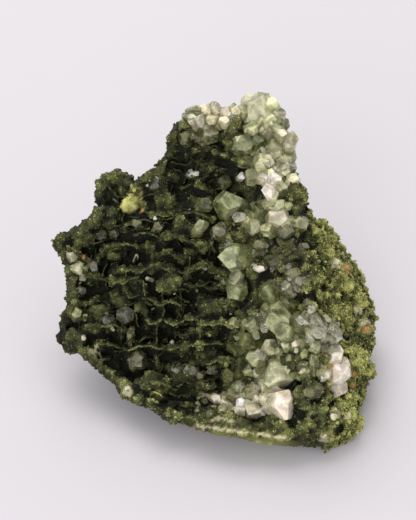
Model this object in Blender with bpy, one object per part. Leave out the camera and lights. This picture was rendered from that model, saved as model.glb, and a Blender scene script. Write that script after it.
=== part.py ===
# Epidote crystal cluster: a hand-size lump of rock, coated in a crust of fine green
# epidote, with thin ledges of crust across its leaning face and pale quartz crystals
# along its crest. All sizes are in millimetres until they become mesh coordinates.
#
# Two sets of axes are used:
#   ground(x, y, z): x to the right, y to the back, z above the flat base
#   face(across, up, out): the leaning face's own axes. Across is x, up runs up the
#   slope of the face, and out points away from it, FACE_LEAN above the horizon.

import math
import random

import bmesh
import bpy
import numpy as np
from mathutils import Matrix, Vector, noise
from mathutils.bvhtree import BVHTree

MM = 0.001

# Driving dimensions
FACE_LEAN = math.radians(42.0)  # how far the face looks upwards
FACE_PLACE = Vector((-0.7, 1.4, 40.0))  # the face frame's origin, from the base's middle
SEAT_GAP = 0.3  # air between a crystal and what it is seated in
ROOT_DEPTH = 6.0  # how far ledges and lumps reach into the rock behind them
CRYSTAL_ROOT = 3.0  # how deep a crystal's foot is sunk
ROOT_COVER = 0.6  # depth at which the quartz under a group of crystals starts
ROOT_FLOOR = 2.6  # and ends, short of their feet
ROOT_WIDTH = 0.62  # its half width under each crystal, as a share of the crystal's radius
LEDGE_LIP = 1.6  # thickness of a ledge at its free edge
LEDGE_FOOT = 3.0  # thickness of a ledge where it leaves the rock
LEDGE_STEP = 2.6  # distance between two sections of a ledge
LEDGE_DROOP = 0.35  # how much a ledge's lip hangs, as a share of its height
LEDGE_WANDER = 0.35  # how much a ledge's height wanders, as a share of it
LEDGE_WAVE = 1 / 0.35  # and over what distance
CRUST_GRAIN = 1.15  # cell size at which the rock's masses grow together
CRUST_ROUGHNESS = ((9.0, 1.5), (4.0, 0.8))  # (wavelength, height) of the crust's lumps
BACK_ROUGHNESS = 0.2  # the same on the broken back, as a share
SIDE_ROUGHNESS = 0.5  # where between back and front a surface square to the face is
FRONT_GAIN = 1.6  # how fast it becomes front as it turns to the face's way out
ROCK_FACETS = 2350  # the rock's facets, before crystals and their seats are cut in
GROUP_SPIN, CRYSTAL_SPIN, SMALL_SPIN = 0.9, 0.7, 0.4  # turns about their axes, in radians
SMALL_TIP = 0.55  # share of tip of the small crystals
SEED = 7

ACROSS = Vector((1.0, 0.0, 0.0))
UP = Vector((0.0, math.sin(FACE_LEAN), math.cos(FACE_LEAN)))
OUT = Vector((0.0, -math.cos(FACE_LEAN), math.sin(FACE_LEAN)))


def ground(x, y, z):
    return Vector((x + FACE_PLACE.x, y + FACE_PLACE.y, z))


def face(across, up, out):
    return ACROSS * across + UP * up + OUT * out + FACE_PLACE


def axis_of(direction):
    across, up, out = direction
    return (ACROSS * across + UP * up + OUT * out).normalized()


def on_face(*points):
    return [face(*point) for point in points]


def on_ground(*points):
    return [ground(*point) for point in points]


# The rock's masses. Each is the convex block round its corners, and they overlap.
MASSES = {
    "body": on_face(
        (-46, 10, -11), (-45, -10, -12), (-38, -27, -7), (-20, -40, -1), (8, -50, 3),
        (34, -53, 6), (44, -38, 2), (36, -5, 4), (24, 20, 2), (18, 42, 0),
        (-10, 40, -6), (-32, 24, -12),
    ) + on_ground(
        (-26, -14, -2), (-8, -30, -2), (20, -41, -2), (44, -37, -2), (48, -25, -2),
        (52, 0, 1), (46, 25, -2), (25, 38, -2), (-5, 38, -2), (-28, 28, -2),
        (-34, 5, 4), (-32, 36, 42), (0, 40, 58), (18, 38, 66), (38, 25, 34),
        (50, 15, 20),
    ),
    "left_shoulder": on_face(
        (-56, 10.3, -14), (-50.5, 14.6, -12), (-44, 19, -9), (-36, 22, -6), (-34, 17, -3),
        (-40, 12, -2), (-46, 6, -4), (-49, 0, -7), (-52, 7, -9), (-45, 10, -20),
        (-38, 15, -22), (-50, 10, -20),
    ),
    "left_waist": on_face(
        (-49.5, 2, -8), (-49, -8, -9), (-49, -11, -10), (-44, -10, -6), (-44, 4, -5),
        (-45, 0, -18), (-45, -8, -18),
    ),
    "left_tip": on_face(
        (-50.5, -11, -10), (-53.5, -16.5, -10), (-55.3, -22.5, -11), (-51, -25.5, -9),
        (-44, -27.4, -5), (-40, -24, -4), (-42, -14, -6), (-44, -18, -18),
        (-48, -20, -18), (-38, -26, -16),
    ),
    "lower_left_rim": on_face(
        (-45, -27, -6), (-40, -30, -4), (-35, -33, -2), (-31, -36.3, 0),
        (-28.5, -39.5, 1.5), (-26.8, -43.5, 2), (-22, -44.3, 3.5), (-24, -36, 4),
        (-36, -28, -1), (-42, -24, -6), (-38, -22, -12), (-36, -30, -14),
        (-28, -38, -8), (-22, -36, -8),
    ),
    "lower_rim": on_face(
        (-26.5, -42, 2), (-18, -45.8, 4.5), (-12.5, -49, 6.5), (-5, -51.5, 8),
        (3.5, -53, 9), (18, -55.8, 10), (10, -47, 12), (-6, -45, 10), (-20, -38, 6),
        (-10, -44, -4), (10, -50, 0), (18, -50, 2),
    ),
    "lower_right": on_face(
        (18, -55.8, 10), (27, -57.7, 9), (37, -57.2, 6), (45, -56.2, 3), (48.6, -51.5, 1),
        (47, -42, 4), (42, -34, 12), (34, -30, 16), (26, -36, 17), (22, -48, 15),
        (30, -53, 12), (12, -54.5, 8), (13, -50, 4),
    ) + on_ground((30, -30, -2), (44, -30, -2)),
    "crest_low": on_face(
        (30, -34, 17), (40, -30, 13), (36, -12, 16), (30, -8, 17), (22, -14, 12),
        (22, -30, 13), (40, -20, -5), (28, -20, -5),
    ),
    "crest_middle": on_face(
        (33, -10, 15), (28, -6, 16), (29, 10, 11), (24, 12, 11), (20, 0, 9),
        (34, 6, 5), (38, -8, 8), (34, 0, -10), (24, 0, -8),
    ),
    "crest_high": on_face(
        (24, 12, 11), (29, 14, 9), (30, 26, 7), (27, 34, 9), (24, 44, 8), (18, 42, 7),
        (18, 28, 6), (18, 16, 7), (31, 20, 0), (28, 30, -10), (20, 20, -8),
        (30, 14, -10),
    ),
    "tower": on_face(
        (-11.8, 51, 0), (-11, 50, 4), (-4, 53, 4), (6, 53, 5), (16, 54, 5), (22, 50, 5),
        (24, 42, 7), (22, 34, 4), (2, 38, -1), (-14, 34, -1), (-17.5, 40.5, -2),
        (-19.5, 37.5, -4), (-13.5, 46, 0), (-10, 44, 3), (-12, 46, -12), (20, 50, -10), (0, 52, -8),
        (24, 38, -12), (-14, 32, -16),
    ),
    "upper_left_brow": on_face(
        (-24, 35, -8), (-23, 33, -4), (-17, 37, -3), (-14, 30, 0), (-22, 24, 0),
        (-30, 24, -4), (-28, 30, -8), (-24, 26, -16), (-16, 30, -14),
    ),
    "knob": on_face(
        (-41.5, 26, -16), (-41.5, 28.6, -15), (-37.5, 33.5, -14), (-35.5, 37, -15),
        (-31, 37.2, -14), (-27, 33.5, -14), (-28, 28, -11), (-36, 24, -12),
        (-39, 25, -14), (-38.5, 21, -15), (-34, 30, -24), (-28, 28, -22), (-36, 26, -22),
    ),
    "flank": on_face(
        (32.5, 22, -8), (39, 17.5, -13), (43, 12, -18), (44.2, 8, -20), (50.2, -2, -21),
        (54, -6, -22), (56, -11, -22), (55.5, -18, -21), (54.5, -25, -19),
        (53, -33, -15), (50, -40, -8), (49.5, -48, -3), (34, 2, 6), (40, -15, 9),
        (45, -32, 7),
    ) + on_ground((48, 15, 4), (50, 0, 4), (40, 20, 20)),
    "right_spur": on_face(
        (30, 29, -1), (32, 29.5, -3), (31, 24, -2), (28, 26, 2), (30, 27, -8),
    ),
    "back_swell": on_ground(
        (-24, 36, 0), (-20, 42, 12), (-14, 41, 34), (6, 45, 22), (22, 43, 10), (20, 42, 34),
        (0, 42, 44), (-20, 30, 20), (0, 30, 50), (24, 30, 30), (10, 30, -2), (20, 38, -2),
    ),
}

# Ledges of crust across the face: (height above the face, points it runs through).
LEDGES = [
    (6.5, ((-35, -2), (-31.5, -1.3), (-25, -0.7), (-23.5, -1.3))),
    (6.0, ((-23.5, -1.3), (-23.3, -4.3), (-22.7, -7.7))),
    (5.0, ((-29, -2.7), (-29, -5), (-27, -6.3), (-24.3, -5.7))),
    (6.5, ((-24.3, -7), (-20.3, -8.3), (-17, -9.7), (-13.7, -9), (-10.3, -9.7))),
    (6.0, ((-17.3, -9.3), (-16.7, -11.7), (-16.7, -14.3))),
    (7.5, ((-22.7, -14.3), (-19.3, -15), (-16.7, -14), (-12.7, -15.3), (-7.7, -14.3),
           (-2.7, -15.3), (3, -15), (9, -16.5))),
    (6.0, ((-18.3, -15.3), (-18.7, -19), (-19.3, -23.3))),
    (5.5, ((-43.3, -18.3), (-39.3, -17.3), (-34.3, -16.7), (-31, -17), (-27.3, -18.7))),
    (7.0, ((-38.7, -22.7), (-33.7, -23.3), (-29.3, -25), (-24.3, -23.7),
           (-19.3, -23.7), (-13.7, -24.3), (-8.3, -23), (-2.7, -23), (4, -22))),
    (5.0, ((-19, -26.3), (-18.7, -29), (-18, -31.3))),
    (8.5, ((-25, -35.3), (-21, -34), (-17.7, -34.3), (-13.7, -35.7))),
    (6.0, ((-12.7, -36.3), (-8.3, -35), (-4.3, -36), (-0.3, -37))),
    (5.0, ((-21.7, -41.3), (-17, -43.7), (-11, -42.3), (-5, -42.3))),
    (6.5, ((-6, -9.7), (-2.7, -8), (2.3, -8.7), (8.3, -9.3))),
    (5.5, ((-39.3, 4.3), (-36.3, 8), (-31.7, 10.3), (-27, 10.7), (-24.3, 9.3))),
    (5.5, ((-35, 0.3), (-30.3, 2.3), (-24.3, 2.3), (-18.3, 3.3), (-13.7, 1.7))),
    (5.0, ((-21, 5.7), (-16, 7.7), (-11, 6.3), (-6, 8.3))),
    (6.0, ((-7, 41), (-2.7, 41.7), (2.3, 41), (7.7, 39.7), (12.3, 38.3))),
    (5.0, ((-11, 28.3), (-6, 30.3), (-1, 29))),
    (5.0, ((-11.7, 20), (-7.7, 22), (-3.3, 20.3), (-0.3, 18.3))),
    (5.0, ((-22.7, 22.3), (-18.3, 20.3), (-13.7, 21))),
    (5.0, ((-17.7, 12.3), (-12.7, 13.7), (-7.7, 11.7), (-3.3, 9.7))),
    (5.5, ((-9.3, -1), (-7, 2.3), (-2.7, 4.3), (0.7, 2.3))),
    (4.5, ((-47, -8.3), (-44.3, -9.3), (-39.3, -8.3), (-34.3, -10.3))),
    (5.0, ((-3, -29), (2, -27.5), (7, -29))),
    (3.5, ((-6, -47.6), (2, -49), (10, -50), (18, -50.8), (26, -52))),
]

# Rounded lumps of crust on the face: (across, up, radius, stretch across).
LUMPS = [
    (-13.7, -2.7, 4.6, 1.2), (0.7, -11, 4.2, 1.8), (-2.7, -26, 3.6, 1.3),
    (-31, -8.5, 3.6, 1.3), (-37.7, -12.3, 3.2, 1.2), (-46, -21, 4.0, 1.1),
    (-9.3, 16.7, 3.8, 1.2), (-16, 25, 4.2, 1.2), (-27.7, 23.3, 4.0, 1.0),
    (-36, 19, 4.2, 1.3), (-43, 12.5, 4.0, 1.2), (9, 13.3, 4.0, 1.2),
    (15, 3.5, 4.6, 1.2), (29, 4.3, 4.0, 1.0), (-19, -36.5, 4.4, 1.5),
    (-34, 33, 3.4, 1.2), (36, 8, 4.4, 1.2), (42, -2, 5.0, 1.0),
    (47, -9, 4.4, 1.1), (43, -15, 4.8, 1.0), (50, -20, 4.0, 1.0),
    (46, -28, 4.6, 1.0), (51, -33, 3.6, 1.0), (44, -42, 4.8, 1.1),
    (46, -49, 4.0, 1.0), (38, -50, 4.6, 1.3), (34, -44, 4.0, 1.1),
]

# Quartz crystals. Each is (across, up, direction, radius, length, share of tip), where
# the direction is (across, up, out) and the length is what stands clear of the rock.
QUARTZ = {
    "quartz_summit": [
        (12, 53, (0.0, 1.0, 0.25), 4.2, 7.5, 0.45),
        (16.5, 53.5, (0.25, 0.35, 1.0), 5.0, 6.5, 0.4),
        (18.6, 52.5, (0.85, 0.4, 0.6), 3.0, 4.4, 0.5),
        (17.5, 48.5, (0.4, -0.3, 1.0), 3.4, 5.0, 0.5),
        (12.5, 49, (-0.2, -0.5, 1.0), 3.4, 5.0, 0.5),
    ],
    "quartz_summit_druse": [
        (-4.5, 52.5, (-0.3, 1.0, 0.4), 2.3, 4.6, 0.6),
        (-1.5, 53, (0.1, 1.0, 0.6), 2.2, 5.0, 0.6),
        (1.5, 53, (0.2, 1.0, 0.3), 2.1, 4.4, 0.6),
        (4.2, 53, (-0.2, 1.0, 0.7), 2.2, 4.2, 0.6),
        (-3.2, 50, (-0.5, 0.5, 1.0), 2.3, 4.4, 0.6),
        (0.6, 50, (0.2, 0.4, 1.0), 2.4, 4.6, 0.6),
        (4.2, 50, (0.1, 0.2, 1.0), 2.2, 4.0, 0.6),
    ],
    "quartz_facet_upper": [
        (-2.4, 45.6, (-0.35, 0.3, 1.0), 4.0, 4.6, 0.7),
    ],
    "quartz_crest_top": [
        (22.6, 45.2, (0.4, 0.5, 0.8), 3.1, 4.6, 0.5),
        (23.2, 40.6, (0.5, 0.0, 0.9), 3.2, 4.4, 0.5),
        (22.6, 35.8, (0.3, -0.25, 1.0), 4.0, 4.8, 0.5),
        (20, 30.8, (0.2, -0.45, 1.0), 3.8, 4.6, 0.55),
        (18.6, 43, (-0.3, 0.2, 1.0), 3.6, 4.8, 0.6),
        (16.3, 37.5, (-0.45, -0.2, 1.0), 3.2, 5.0, 0.6),
    ],
    "quartz_crest_inner": [
        (9.6, 43, (-0.3, -0.35, 1.0), 4.2, 5.0, 0.6),
    ],
    "quartz_small_green": [
        (14, 32.5, (-0.5, -0.45, 1.0), 3.0, 4.6, 0.6),
    ],
    "quartz_upper_single": [
        (5.3, 23.3, (0.55, -0.1, 0.9), 5.8, 7.5, 0.55),
        (9.2, 18.3, (0.5, -0.45, 0.8), 3.4, 5.5, 0.6),
    ],
    "quartz_crest_middle": [
        (17, 21.5, (-0.5, 0.1, 1.0), 4.6, 5.0, 0.5),
        (22.5, 20.5, (0.35, 0.2, 1.0), 4.2, 4.6, 0.5),
        (18.8, 14.8, (-0.1, -0.35, 1.0), 3.4, 4.4, 0.6),
        (24, 14.6, (0.35, -0.2, 1.0), 3.0, 4.2, 0.6),
    ],
    "quartz_middle_single": [
        (8.2, 5.2, (-0.75, 0.15, 0.8), 5.2, 7.5, 0.6),
        (8.0, -0.6, (-0.2, -0.6, 0.9), 3.6, 5.0, 0.5),
        (9.0, -5.0, (0.0, -0.7, 0.8), 3.8, 5.5, 0.55),
    ],
    "quartz_crest_knot": [
        (23.5, -12.5, (-0.45, 0.1, 1.0), 5.8, 7.0, 0.5),
        (19, -5.2, (-0.35, 0.25, 1.0), 4.2, 5.0, 0.6),
        (25.5, -3, (0.1, 0.35, 1.0), 3.8, 4.4, 0.6),
        (24, -21, (-0.2, -0.35, 1.0), 4.6, 5.0, 0.55),
        (29, -18.5, (0.25, -0.2, 1.0), 4.2, 4.8, 0.55),
    ],
    "quartz_clear_blades": [
        (33.5, -15, (0.55, -0.65, 0.75), 2.8, 8.0, 0.35),
        (37, -22, (0.45, -0.5, 0.9), 3.4, 6.0, 0.45),
    ],
    "quartz_rosy_block": [
        (41, -29, (0.25, 0.15, 1.0), 5.4, 5.0, 0.45),
        (42.3, -36, (0.35, -0.35, 1.0), 5.0, 4.6, 0.5),
    ],
    "quartz_green_pair": [
        (18.5, -27.5, (-0.4, -0.45, 0.9), 4.4, 7.0, 0.5),
        (22.5, -31.5, (0.15, -0.35, 1.0), 4.4, 6.5, 0.6),
        (15, -33, (-0.55, -0.3, 0.9), 3.2, 5.0, 0.6),
    ],
    "quartz_white_tip": [
        (22, -43, (0.45, 0.25, 0.9), 5.2, 6.0, 0.5),
    ],
    "quartz_cream_group": [
        (13.5, -44, (-0.2, -0.3, 1.0), 4.0, 4.4, 0.6),
        (7.5, -40.5, (-0.45, 0.1, 1.0), 3.4, 4.0, 0.6),
        (12, -38.5, (0.0, 0.4, 1.0), 3.0, 4.0, 0.6),
    ],
    "quartz_dim_block": [
        (11.3, -22.3, (-0.2, -0.15, 1.0), 5.0, 5.0, 0.3),
    ],
    "quartz_left_pair": [
        (-48, 6.3, (-0.3, 0.3, 1.0), 2.8, 3.6, 0.5),
        (-45.8, 2.2, (0.1, -0.2, 1.0), 2.9, 3.8, 0.5),
    ],
    "quartz_pale_stud": [
        (-25.3, -28.5, (0.15, -0.3, 1.0), 3.5, 5.0, 0.45),
    ],
    "quartz_sparkle_group": [
        (-12, -30.5, (-0.35, 0.1, 1.0), 3.0, 4.4, 0.6),
        (-7.5, -31.5, (0.3, -0.1, 1.0), 2.8, 4.2, 0.6),
    ],
    "quartz_grey_lens": [
        (-18.2, 30.5, (0.1, -0.35, 1.0), 3.4, 3.6, 0.4),
    ],
}

# Small quartz points grown fast in the crust: (across, up, direction, radius, length).
SMALL_QUARTZ = [
    (-25.3, 16.7, (-0.3, 0.0, 1.0), 2.3, 4.0), (-18.5, 15.5, (0.3, 0.4, 1.0), 2.0, 4.0),
    (-38, 13.5, (-0.2, 0.2, 1.0), 2.0, 3.0), (-33.5, 14.5, (0.2, 0.3, 1.0), 1.9, 3.0),
    (-40.5, 3, (0.3, -0.2, 1.0), 2.6, 3.4), (-44.5, -5.5, (0.2, 0.2, 1.0), 2.1, 3.4),
    (-46, -12.5, (0.1, 0.2, 1.0), 2.6, 3.6), (-29.5, -13.5, (-0.1, 0.2, 1.0), 3.2, 5.0),
    (-35, -15.3, (-0.2, 0.3, 1.0), 2.2, 4.0), (-27.5, -21, (0.0, 0.5, 1.0), 2.0, 5.5),
    (-32.5, -6.8, (0.2, 0.2, 1.0), 1.9, 4.0), (-3, 23.5, (-0.3, -0.2, 1.0), 2.8, 5.0),
    (-4.3, 15.5, (0.2, 0.4, 1.0), 2.4, 4.6), (2, 13.5, (0.2, 0.2, 1.0), 3.2, 4.6),
    (-9.5, 46, (-0.4, 0.2, 1.0), 2.8, 4.0), (4, 30.5, (0.2, 0.0, 1.0), 2.5, 4.5),
    (18.5, 27.3, (-0.2, -0.4, 1.0), 2.0, 3.6), (33, -36.5, (0.0, 0.3, 1.0), 3.4, 3.0),
    (30, -48, (0.1, 0.0, 1.0), 2.8, 2.6), (13.5, -14.5, (-0.2, 0.1, 1.0), 3.4, 4.0),
    (4.5, -33, (-0.3, 0.1, 1.0), 2.8, 3.6), (-1.5, -46, (0.0, 0.2, 1.0), 2.6, 3.6),
    (49, -15, (0.6, 0.1, 0.8), 1.9, 2.8), (40, 4.5, (0.5, 0.3, 0.8), 1.8, 2.6),
    (48, -44, (0.5, 0.1, 0.8), 1.9, 2.8),
]


def clear_scene():
    for obj in list(bpy.data.objects):
        bpy.data.objects.remove(obj, do_unlink=True)


def finish(name, colour, roughness):
    material = bpy.data.materials.new(name)
    material.use_nodes = True
    shader = material.node_tree.nodes["Principled BSDF"]
    shader.inputs["Base Color"].default_value = (*colour, 1.0)
    shader.inputs["Roughness"].default_value = roughness
    shader.inputs["Metallic"].default_value = 0.0
    return material


def add_object(name, mesh):
    obj = bpy.data.objects.new(name, mesh)
    bpy.context.scene.collection.objects.link(obj)
    return obj


def mesh_from(name, bm):
    mesh = bpy.data.meshes.new(name)
    bm.to_mesh(mesh)
    bm.free()
    return mesh


def add_block(bm, corners):
    """Adds the convex block round these corners, which are in millimetres."""
    made = [bm.verts.new(corner * MM) for corner in corners]
    hull = bmesh.ops.convex_hull(bm, input=made)
    inside = {v for v in hull["geom_interior"] if isinstance(v, bmesh.types.BMVert)}
    inside |= {v for v in hull["geom_unused"] if isinstance(v, bmesh.types.BMVert)}
    bmesh.ops.delete(bm, geom=[v for v in inside if v.is_valid], context="VERTS")


def surface_out(tree, across, up):
    """How far out the first surface is, looked at square on to the face."""
    far = 100.0
    hit = tree.ray_cast(face(across, up, far) * MM, -OUT)[0]
    if hit is None:
        return None
    return (hit / MM - face(0, 0, 0)).dot(OUT)


def smooth_route(points, step):
    """Points about a step apart on a smooth curve through the given ones."""
    route = np.array(points, float)
    ends = np.vstack([2 * route[0] - route[1], route, 2 * route[-1] - route[-2]])
    found = []
    for i in range(1, len(ends) - 2):
        a, b, c, d = ends[i - 1 : i + 3]
        count = max(1, round(float(np.linalg.norm(c - b)) / step))
        for t in np.arange(count) / count:
            found.append(
                0.5 * (2 * b + (c - a) * t + (2 * a - 5 * b + 4 * c - d) * t**2
                       + (3 * b - a - 3 * c + d) * t**3)
            )
    found.append(route[-1])
    return np.array(found)


def add_ledge(bm, tree, height, points):
    """A thin wall of crust that stands out from the face along a route."""
    route = smooth_route(points, LEDGE_STEP)
    along = np.gradient(route, axis=0)
    sections = []
    for i, (across, up) in enumerate(route):
        level = surface_out(tree, across, up)
        if level is None:
            continue
        way = Vector(along[i]).normalized()
        side = Vector((-way.y, way.x))
        wave = noise.noise(Vector((across, up, height)) / LEDGE_WAVE)
        lip = height * (1.0 + LEDGE_WANDER * wave)
        droop = lip * LEDGE_DROOP * abs(way.x)
        corners = []
        for sign, thick, out, drop in (
            (1, LEDGE_FOOT, level - ROOT_DEPTH, 0.0),
            (-1, LEDGE_FOOT, level - ROOT_DEPTH, 0.0),
            (-1, LEDGE_LIP, level + lip, droop),
            (1, LEDGE_LIP, level + lip, droop),
        ):
            shift = side * (sign * thick / 2)
            corners.append(
                bm.verts.new(face(across + shift.x, up + shift.y - drop, out) * MM)
            )
        sections.append(corners)
    for near, far in zip(sections, sections[1:]):
        for k in range(4):
            bm.faces.new((near[k], near[(k + 1) % 4], far[(k + 1) % 4], far[k]))
    bm.faces.new(sections[0][::-1])
    bm.faces.new(sections[-1])


def add_lump(bm, tree, across, up, radius, stretch):
    level = surface_out(tree, across, up)
    place = Matrix.Translation(face(across, up, level - radius * 0.25) * MM)
    shape = Matrix.Diagonal((radius * stretch * MM, radius * MM, radius * MM, 1.0))
    bmesh.ops.create_icosphere(bm, subdivisions=2, radius=1.0, matrix=place @ shape)


def evaluated_mesh(obj):
    bpy.context.view_layer.update()
    graph = bpy.context.evaluated_depsgraph_get()
    return bpy.data.meshes.new_from_object(obj.evaluated_get(graph))


def apply_modifiers(obj):
    mesh = evaluated_mesh(obj)
    obj.modifiers.clear()
    obj.data = mesh


def keep_largest_body(obj):
    """Drops the crumbs that a cut leaves loose."""
    bm = bmesh.new()
    bm.from_mesh(obj.data)
    bm.verts.ensure_lookup_table()
    unseen = set(bm.verts)
    bodies = []
    while unseen:
        stack = [unseen.pop()]
        body = set(stack)
        while stack:
            for edge in stack.pop().link_edges:
                for vert in edge.verts:
                    if vert not in body:
                        body.add(vert)
                        stack.append(vert)
        unseen -= body
        bodies.append(body)
    bodies.sort(key=len, reverse=True)
    crumbs = [vert for body in bodies[1:] for vert in body]
    bmesh.ops.delete(bm, geom=crumbs, context="VERTS")
    bm.to_mesh(obj.data)
    bm.free()


def roughen(mesh):
    """Moves the surface in and out by the crust's lumps, less on the broken back."""
    normals = [vert.normal.copy() for vert in mesh.vertices]
    for vert, normal in zip(mesh.vertices, normals):
        place = vert.co / MM
        height = sum(
            size * noise.noise(place / wavelength) for wavelength, size in CRUST_ROUGHNESS
        )
        front = min(1.0, max(0.0, SIDE_ROUGHNESS + FRONT_GAIN * normal.dot(OUT)))
        height *= BACK_ROUGHNESS + (1.0 - BACK_ROUGHNESS) * front
        vert.co += normal * height * MM


def masses_mesh():
    bm = bmesh.new()
    for corners in MASSES.values():
        add_block(bm, corners)
    return bm


def grown_rock():
    """The masses, ledges and lumps grown together into one lump of rock."""
    bm = masses_mesh()
    tree = BVHTree.FromBMesh(bm)
    for height, points in LEDGES:
        add_ledge(bm, tree, height, points)
    for lump in LUMPS:
        add_lump(bm, tree, *lump)
    bmesh.ops.recalc_face_normals(bm, faces=bm.faces)
    rock = add_object("epidote_matrix", mesh_from("epidote_matrix", bm))
    grow = rock.modifiers.new("grow together", "REMESH")
    grow.mode = "VOXEL"
    grow.voxel_size = CRUST_GRAIN * MM
    apply_modifiers(rock)
    roughen(rock.data)
    facets = rock.modifiers.new("facets", "DECIMATE")
    facets.ratio = ROCK_FACETS / (2 * len(rock.data.polygons))
    apply_modifiers(rock)
    keep_largest_body(rock)
    return rock


def cut_flat(bm, distance, normal):
    """Cuts away all that lies past a plane, and closes the cut."""
    bmesh.ops.bisect_plane(
        bm, geom=bm.verts[:] + bm.edges[:] + bm.faces[:], dist=1e-6,
        plane_co=normal * distance, plane_no=normal, clear_outer=True,
    )
    rim = [edge for edge in bm.edges if len(edge.link_faces) == 1]
    if rim:
        bmesh.ops.contextual_create(bm, geom=rim)


def crystal_mesh(foot, direction, radius, length, tip_share, spin, grow=0.0):
    """A quartz crystal: a block cut by six faces round its axis and six that lean in
    to its point, unevenly grown. The foot is where its axis meets the rock. Grow moves
    every face out, for cutting the crystal's seat."""
    turn = axis_of(direction).to_track_quat("Z", "Y").to_matrix().to_4x4()
    uneven = random.Random(round(spin * 1000) + SEED)
    steep = math.atan2(length * tip_share, radius)
    bm = bmesh.new()
    bmesh.ops.create_cube(bm, size=6.0 * (radius + length + CRYSTAL_ROOT))
    cut_flat(bm, CRYSTAL_ROOT + grow, Vector((0, 0, -1)))
    for k in range(6):
        angle = spin + math.tau * k / 6
        round_axis = Vector((math.cos(angle), math.sin(angle), 0))
        cut_flat(bm, radius * uneven.uniform(0.78, 1.02) + grow, round_axis)
        lean_in = round_axis * math.sin(steep) + Vector((0, 0, math.cos(steep)))
        reach = length * uneven.uniform(0.86, 1.1) * math.cos(steep)
        cut_flat(bm, reach + grow, lean_in)
    bmesh.ops.recalc_face_normals(bm, faces=bm.faces)
    bm.transform(Matrix.Scale(MM, 4) @ Matrix.Translation(foot) @ turn)
    return mesh_from("crystal", bm)


def helper_group(name, meshes):
    """Helper objects in a collection of their own, which is left out of the model."""
    group = bpy.data.collections.new(name)
    for mesh in meshes:
        obj = bpy.data.objects.new(name, mesh)
        obj.hide_render = True
        obj.display_type = "WIRE"
        group.objects.link(obj)
    return group


def combine(obj, operation, meshes):
    """Joins helper meshes to an object, or cuts them from it. EXACT leaves edges with
    three faces where ledges are thin or crystals all but touch, so MANIFOLD is used."""
    if not meshes:
        return
    group = helper_group("helper", meshes)
    bpy.context.scene.collection.children.link(group)
    join = obj.modifiers.new(operation.lower(), "BOOLEAN")
    join.operation = operation
    join.operand_type = "COLLECTION"
    join.collection = group
    join.solver = "MANIFOLD"
    apply_modifiers(obj)
    for helper in list(group.objects):
        bpy.data.objects.remove(helper, do_unlink=True)
    bpy.data.collections.remove(group)


def foot_on_rock(tree, across, up):
    """Where a crystal's axis meets the rock. Past the rock's top it is a little lower."""
    level = surface_out(tree, across, up)
    while level is None:
        up -= 0.5
        level = surface_out(tree, across, up)
    return face(across, up, level)


def grown_block(corners, grow):
    """The convex block round these corners, with every face moved out by grow."""
    bm = bmesh.new()
    for corner in corners:
        bm.verts.new(corner)
    bmesh.ops.convex_hull(bm, input=bm.verts)
    bmesh.ops.recalc_face_normals(bm, faces=bm.faces)
    planes = [(face.calc_center_median(), face.normal.copy()) for face in bm.faces]
    bm.clear()
    middle = sum(corners, Vector()) / len(corners)
    reach = max((corner - middle).length for corner in corners) + grow
    bmesh.ops.create_cube(bm, size=4.0 * reach, matrix=Matrix.Translation(middle))
    for place, normal in planes:
        cut_flat(bm, place.dot(normal) + grow, normal)
    bmesh.ops.recalc_face_normals(bm, faces=bm.faces)
    bm.transform(Matrix.Scale(MM, 4))
    return mesh_from("block", bm)


def root_mesh(tree, rows, grow):
    """The quartz that a group's crystals grow from: the convex block round their feet,
    under the rock's surface. Grow moves it out every way, for cutting its seat."""
    corners = []
    for across, up, direction, radius, _, _ in rows:
        foot = foot_on_rock(tree, across, up)
        axis = axis_of(direction)
        side = axis.orthogonal().normalized() * radius * ROOT_WIDTH
        for depth, first in ((ROOT_COVER, 0.0), (ROOT_FLOOR, 0.5)):
            for k in range(3):
                turn = Matrix.Rotation(math.tau * (k + first) / 3, 3, axis)
                corners.append(foot - axis * depth + turn @ side)
    return grown_block(corners, grow)


def crystals_of(tree, rows, first_spin, grow):
    """The meshes of some crystals, each with its foot on the rock."""
    made = []
    for i, (across, up, direction, radius, length, tip_share) in enumerate(rows):
        spin = first_spin + CRYSTAL_SPIN * i
        foot = foot_on_rock(tree, across, up)
        made.append(crystal_mesh(foot, direction, radius, length, tip_share, spin, grow))
    return made


def near(meshes, others):
    """Those of the others whose boxes come near a box round the meshes."""
    def box(mesh):
        points = np.array([vert.co for vert in mesh.vertices])
        return points.min(0), points.max(0)

    low = np.min([box(mesh)[0] for mesh in meshes], axis=0)
    high = np.max([box(mesh)[1] for mesh in meshes], axis=0)
    found = []
    for other in others:
        other_low, other_high = box(other)
        if np.all(other_low < high + MM) and np.all(other_high > low - MM):
            found.append(other)
    return found


def quartz_groups(tree):
    """Each group of crystals grown together, as one solid clear of the groups before
    it, and the enlarged crystals that cut its seat in the rock."""
    seats = []
    groups = []
    for n, (name, rows) in enumerate(QUARTZ.items()):
        crystals = crystals_of(tree, rows, n * GROUP_SPIN, 0.0)
        cutters = crystals_of(tree, rows, n * GROUP_SPIN, SEAT_GAP)
        if len(rows) > 1:
            crystals.append(root_mesh(tree, rows, 0.0))
            cutters.append(root_mesh(tree, rows, SEAT_GAP))
        group = add_object(name, crystals[0])
        combine(group, "UNION", crystals[1:])
        combine(group, "DIFFERENCE", [m.copy() for m in near([group.data], seats)])
        keep_largest_body(group)
        groups.append(group)
        seats += cutters
    return groups, seats


def flat_base(rock):
    """Cuts the rock off flat at the ground, where it rests."""
    side, depth = 300.0, 60.0
    bm = bmesh.new()
    bmesh.ops.create_cube(bm, size=1.0)
    bm.transform(
        Matrix.Translation((0, 0, -depth / 2 * MM))
        @ Matrix.Diagonal((side * MM, side * MM, depth * MM, 1.0))
    )
    combine(rock, "DIFFERENCE", [mesh_from("ground", bm)])


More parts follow.
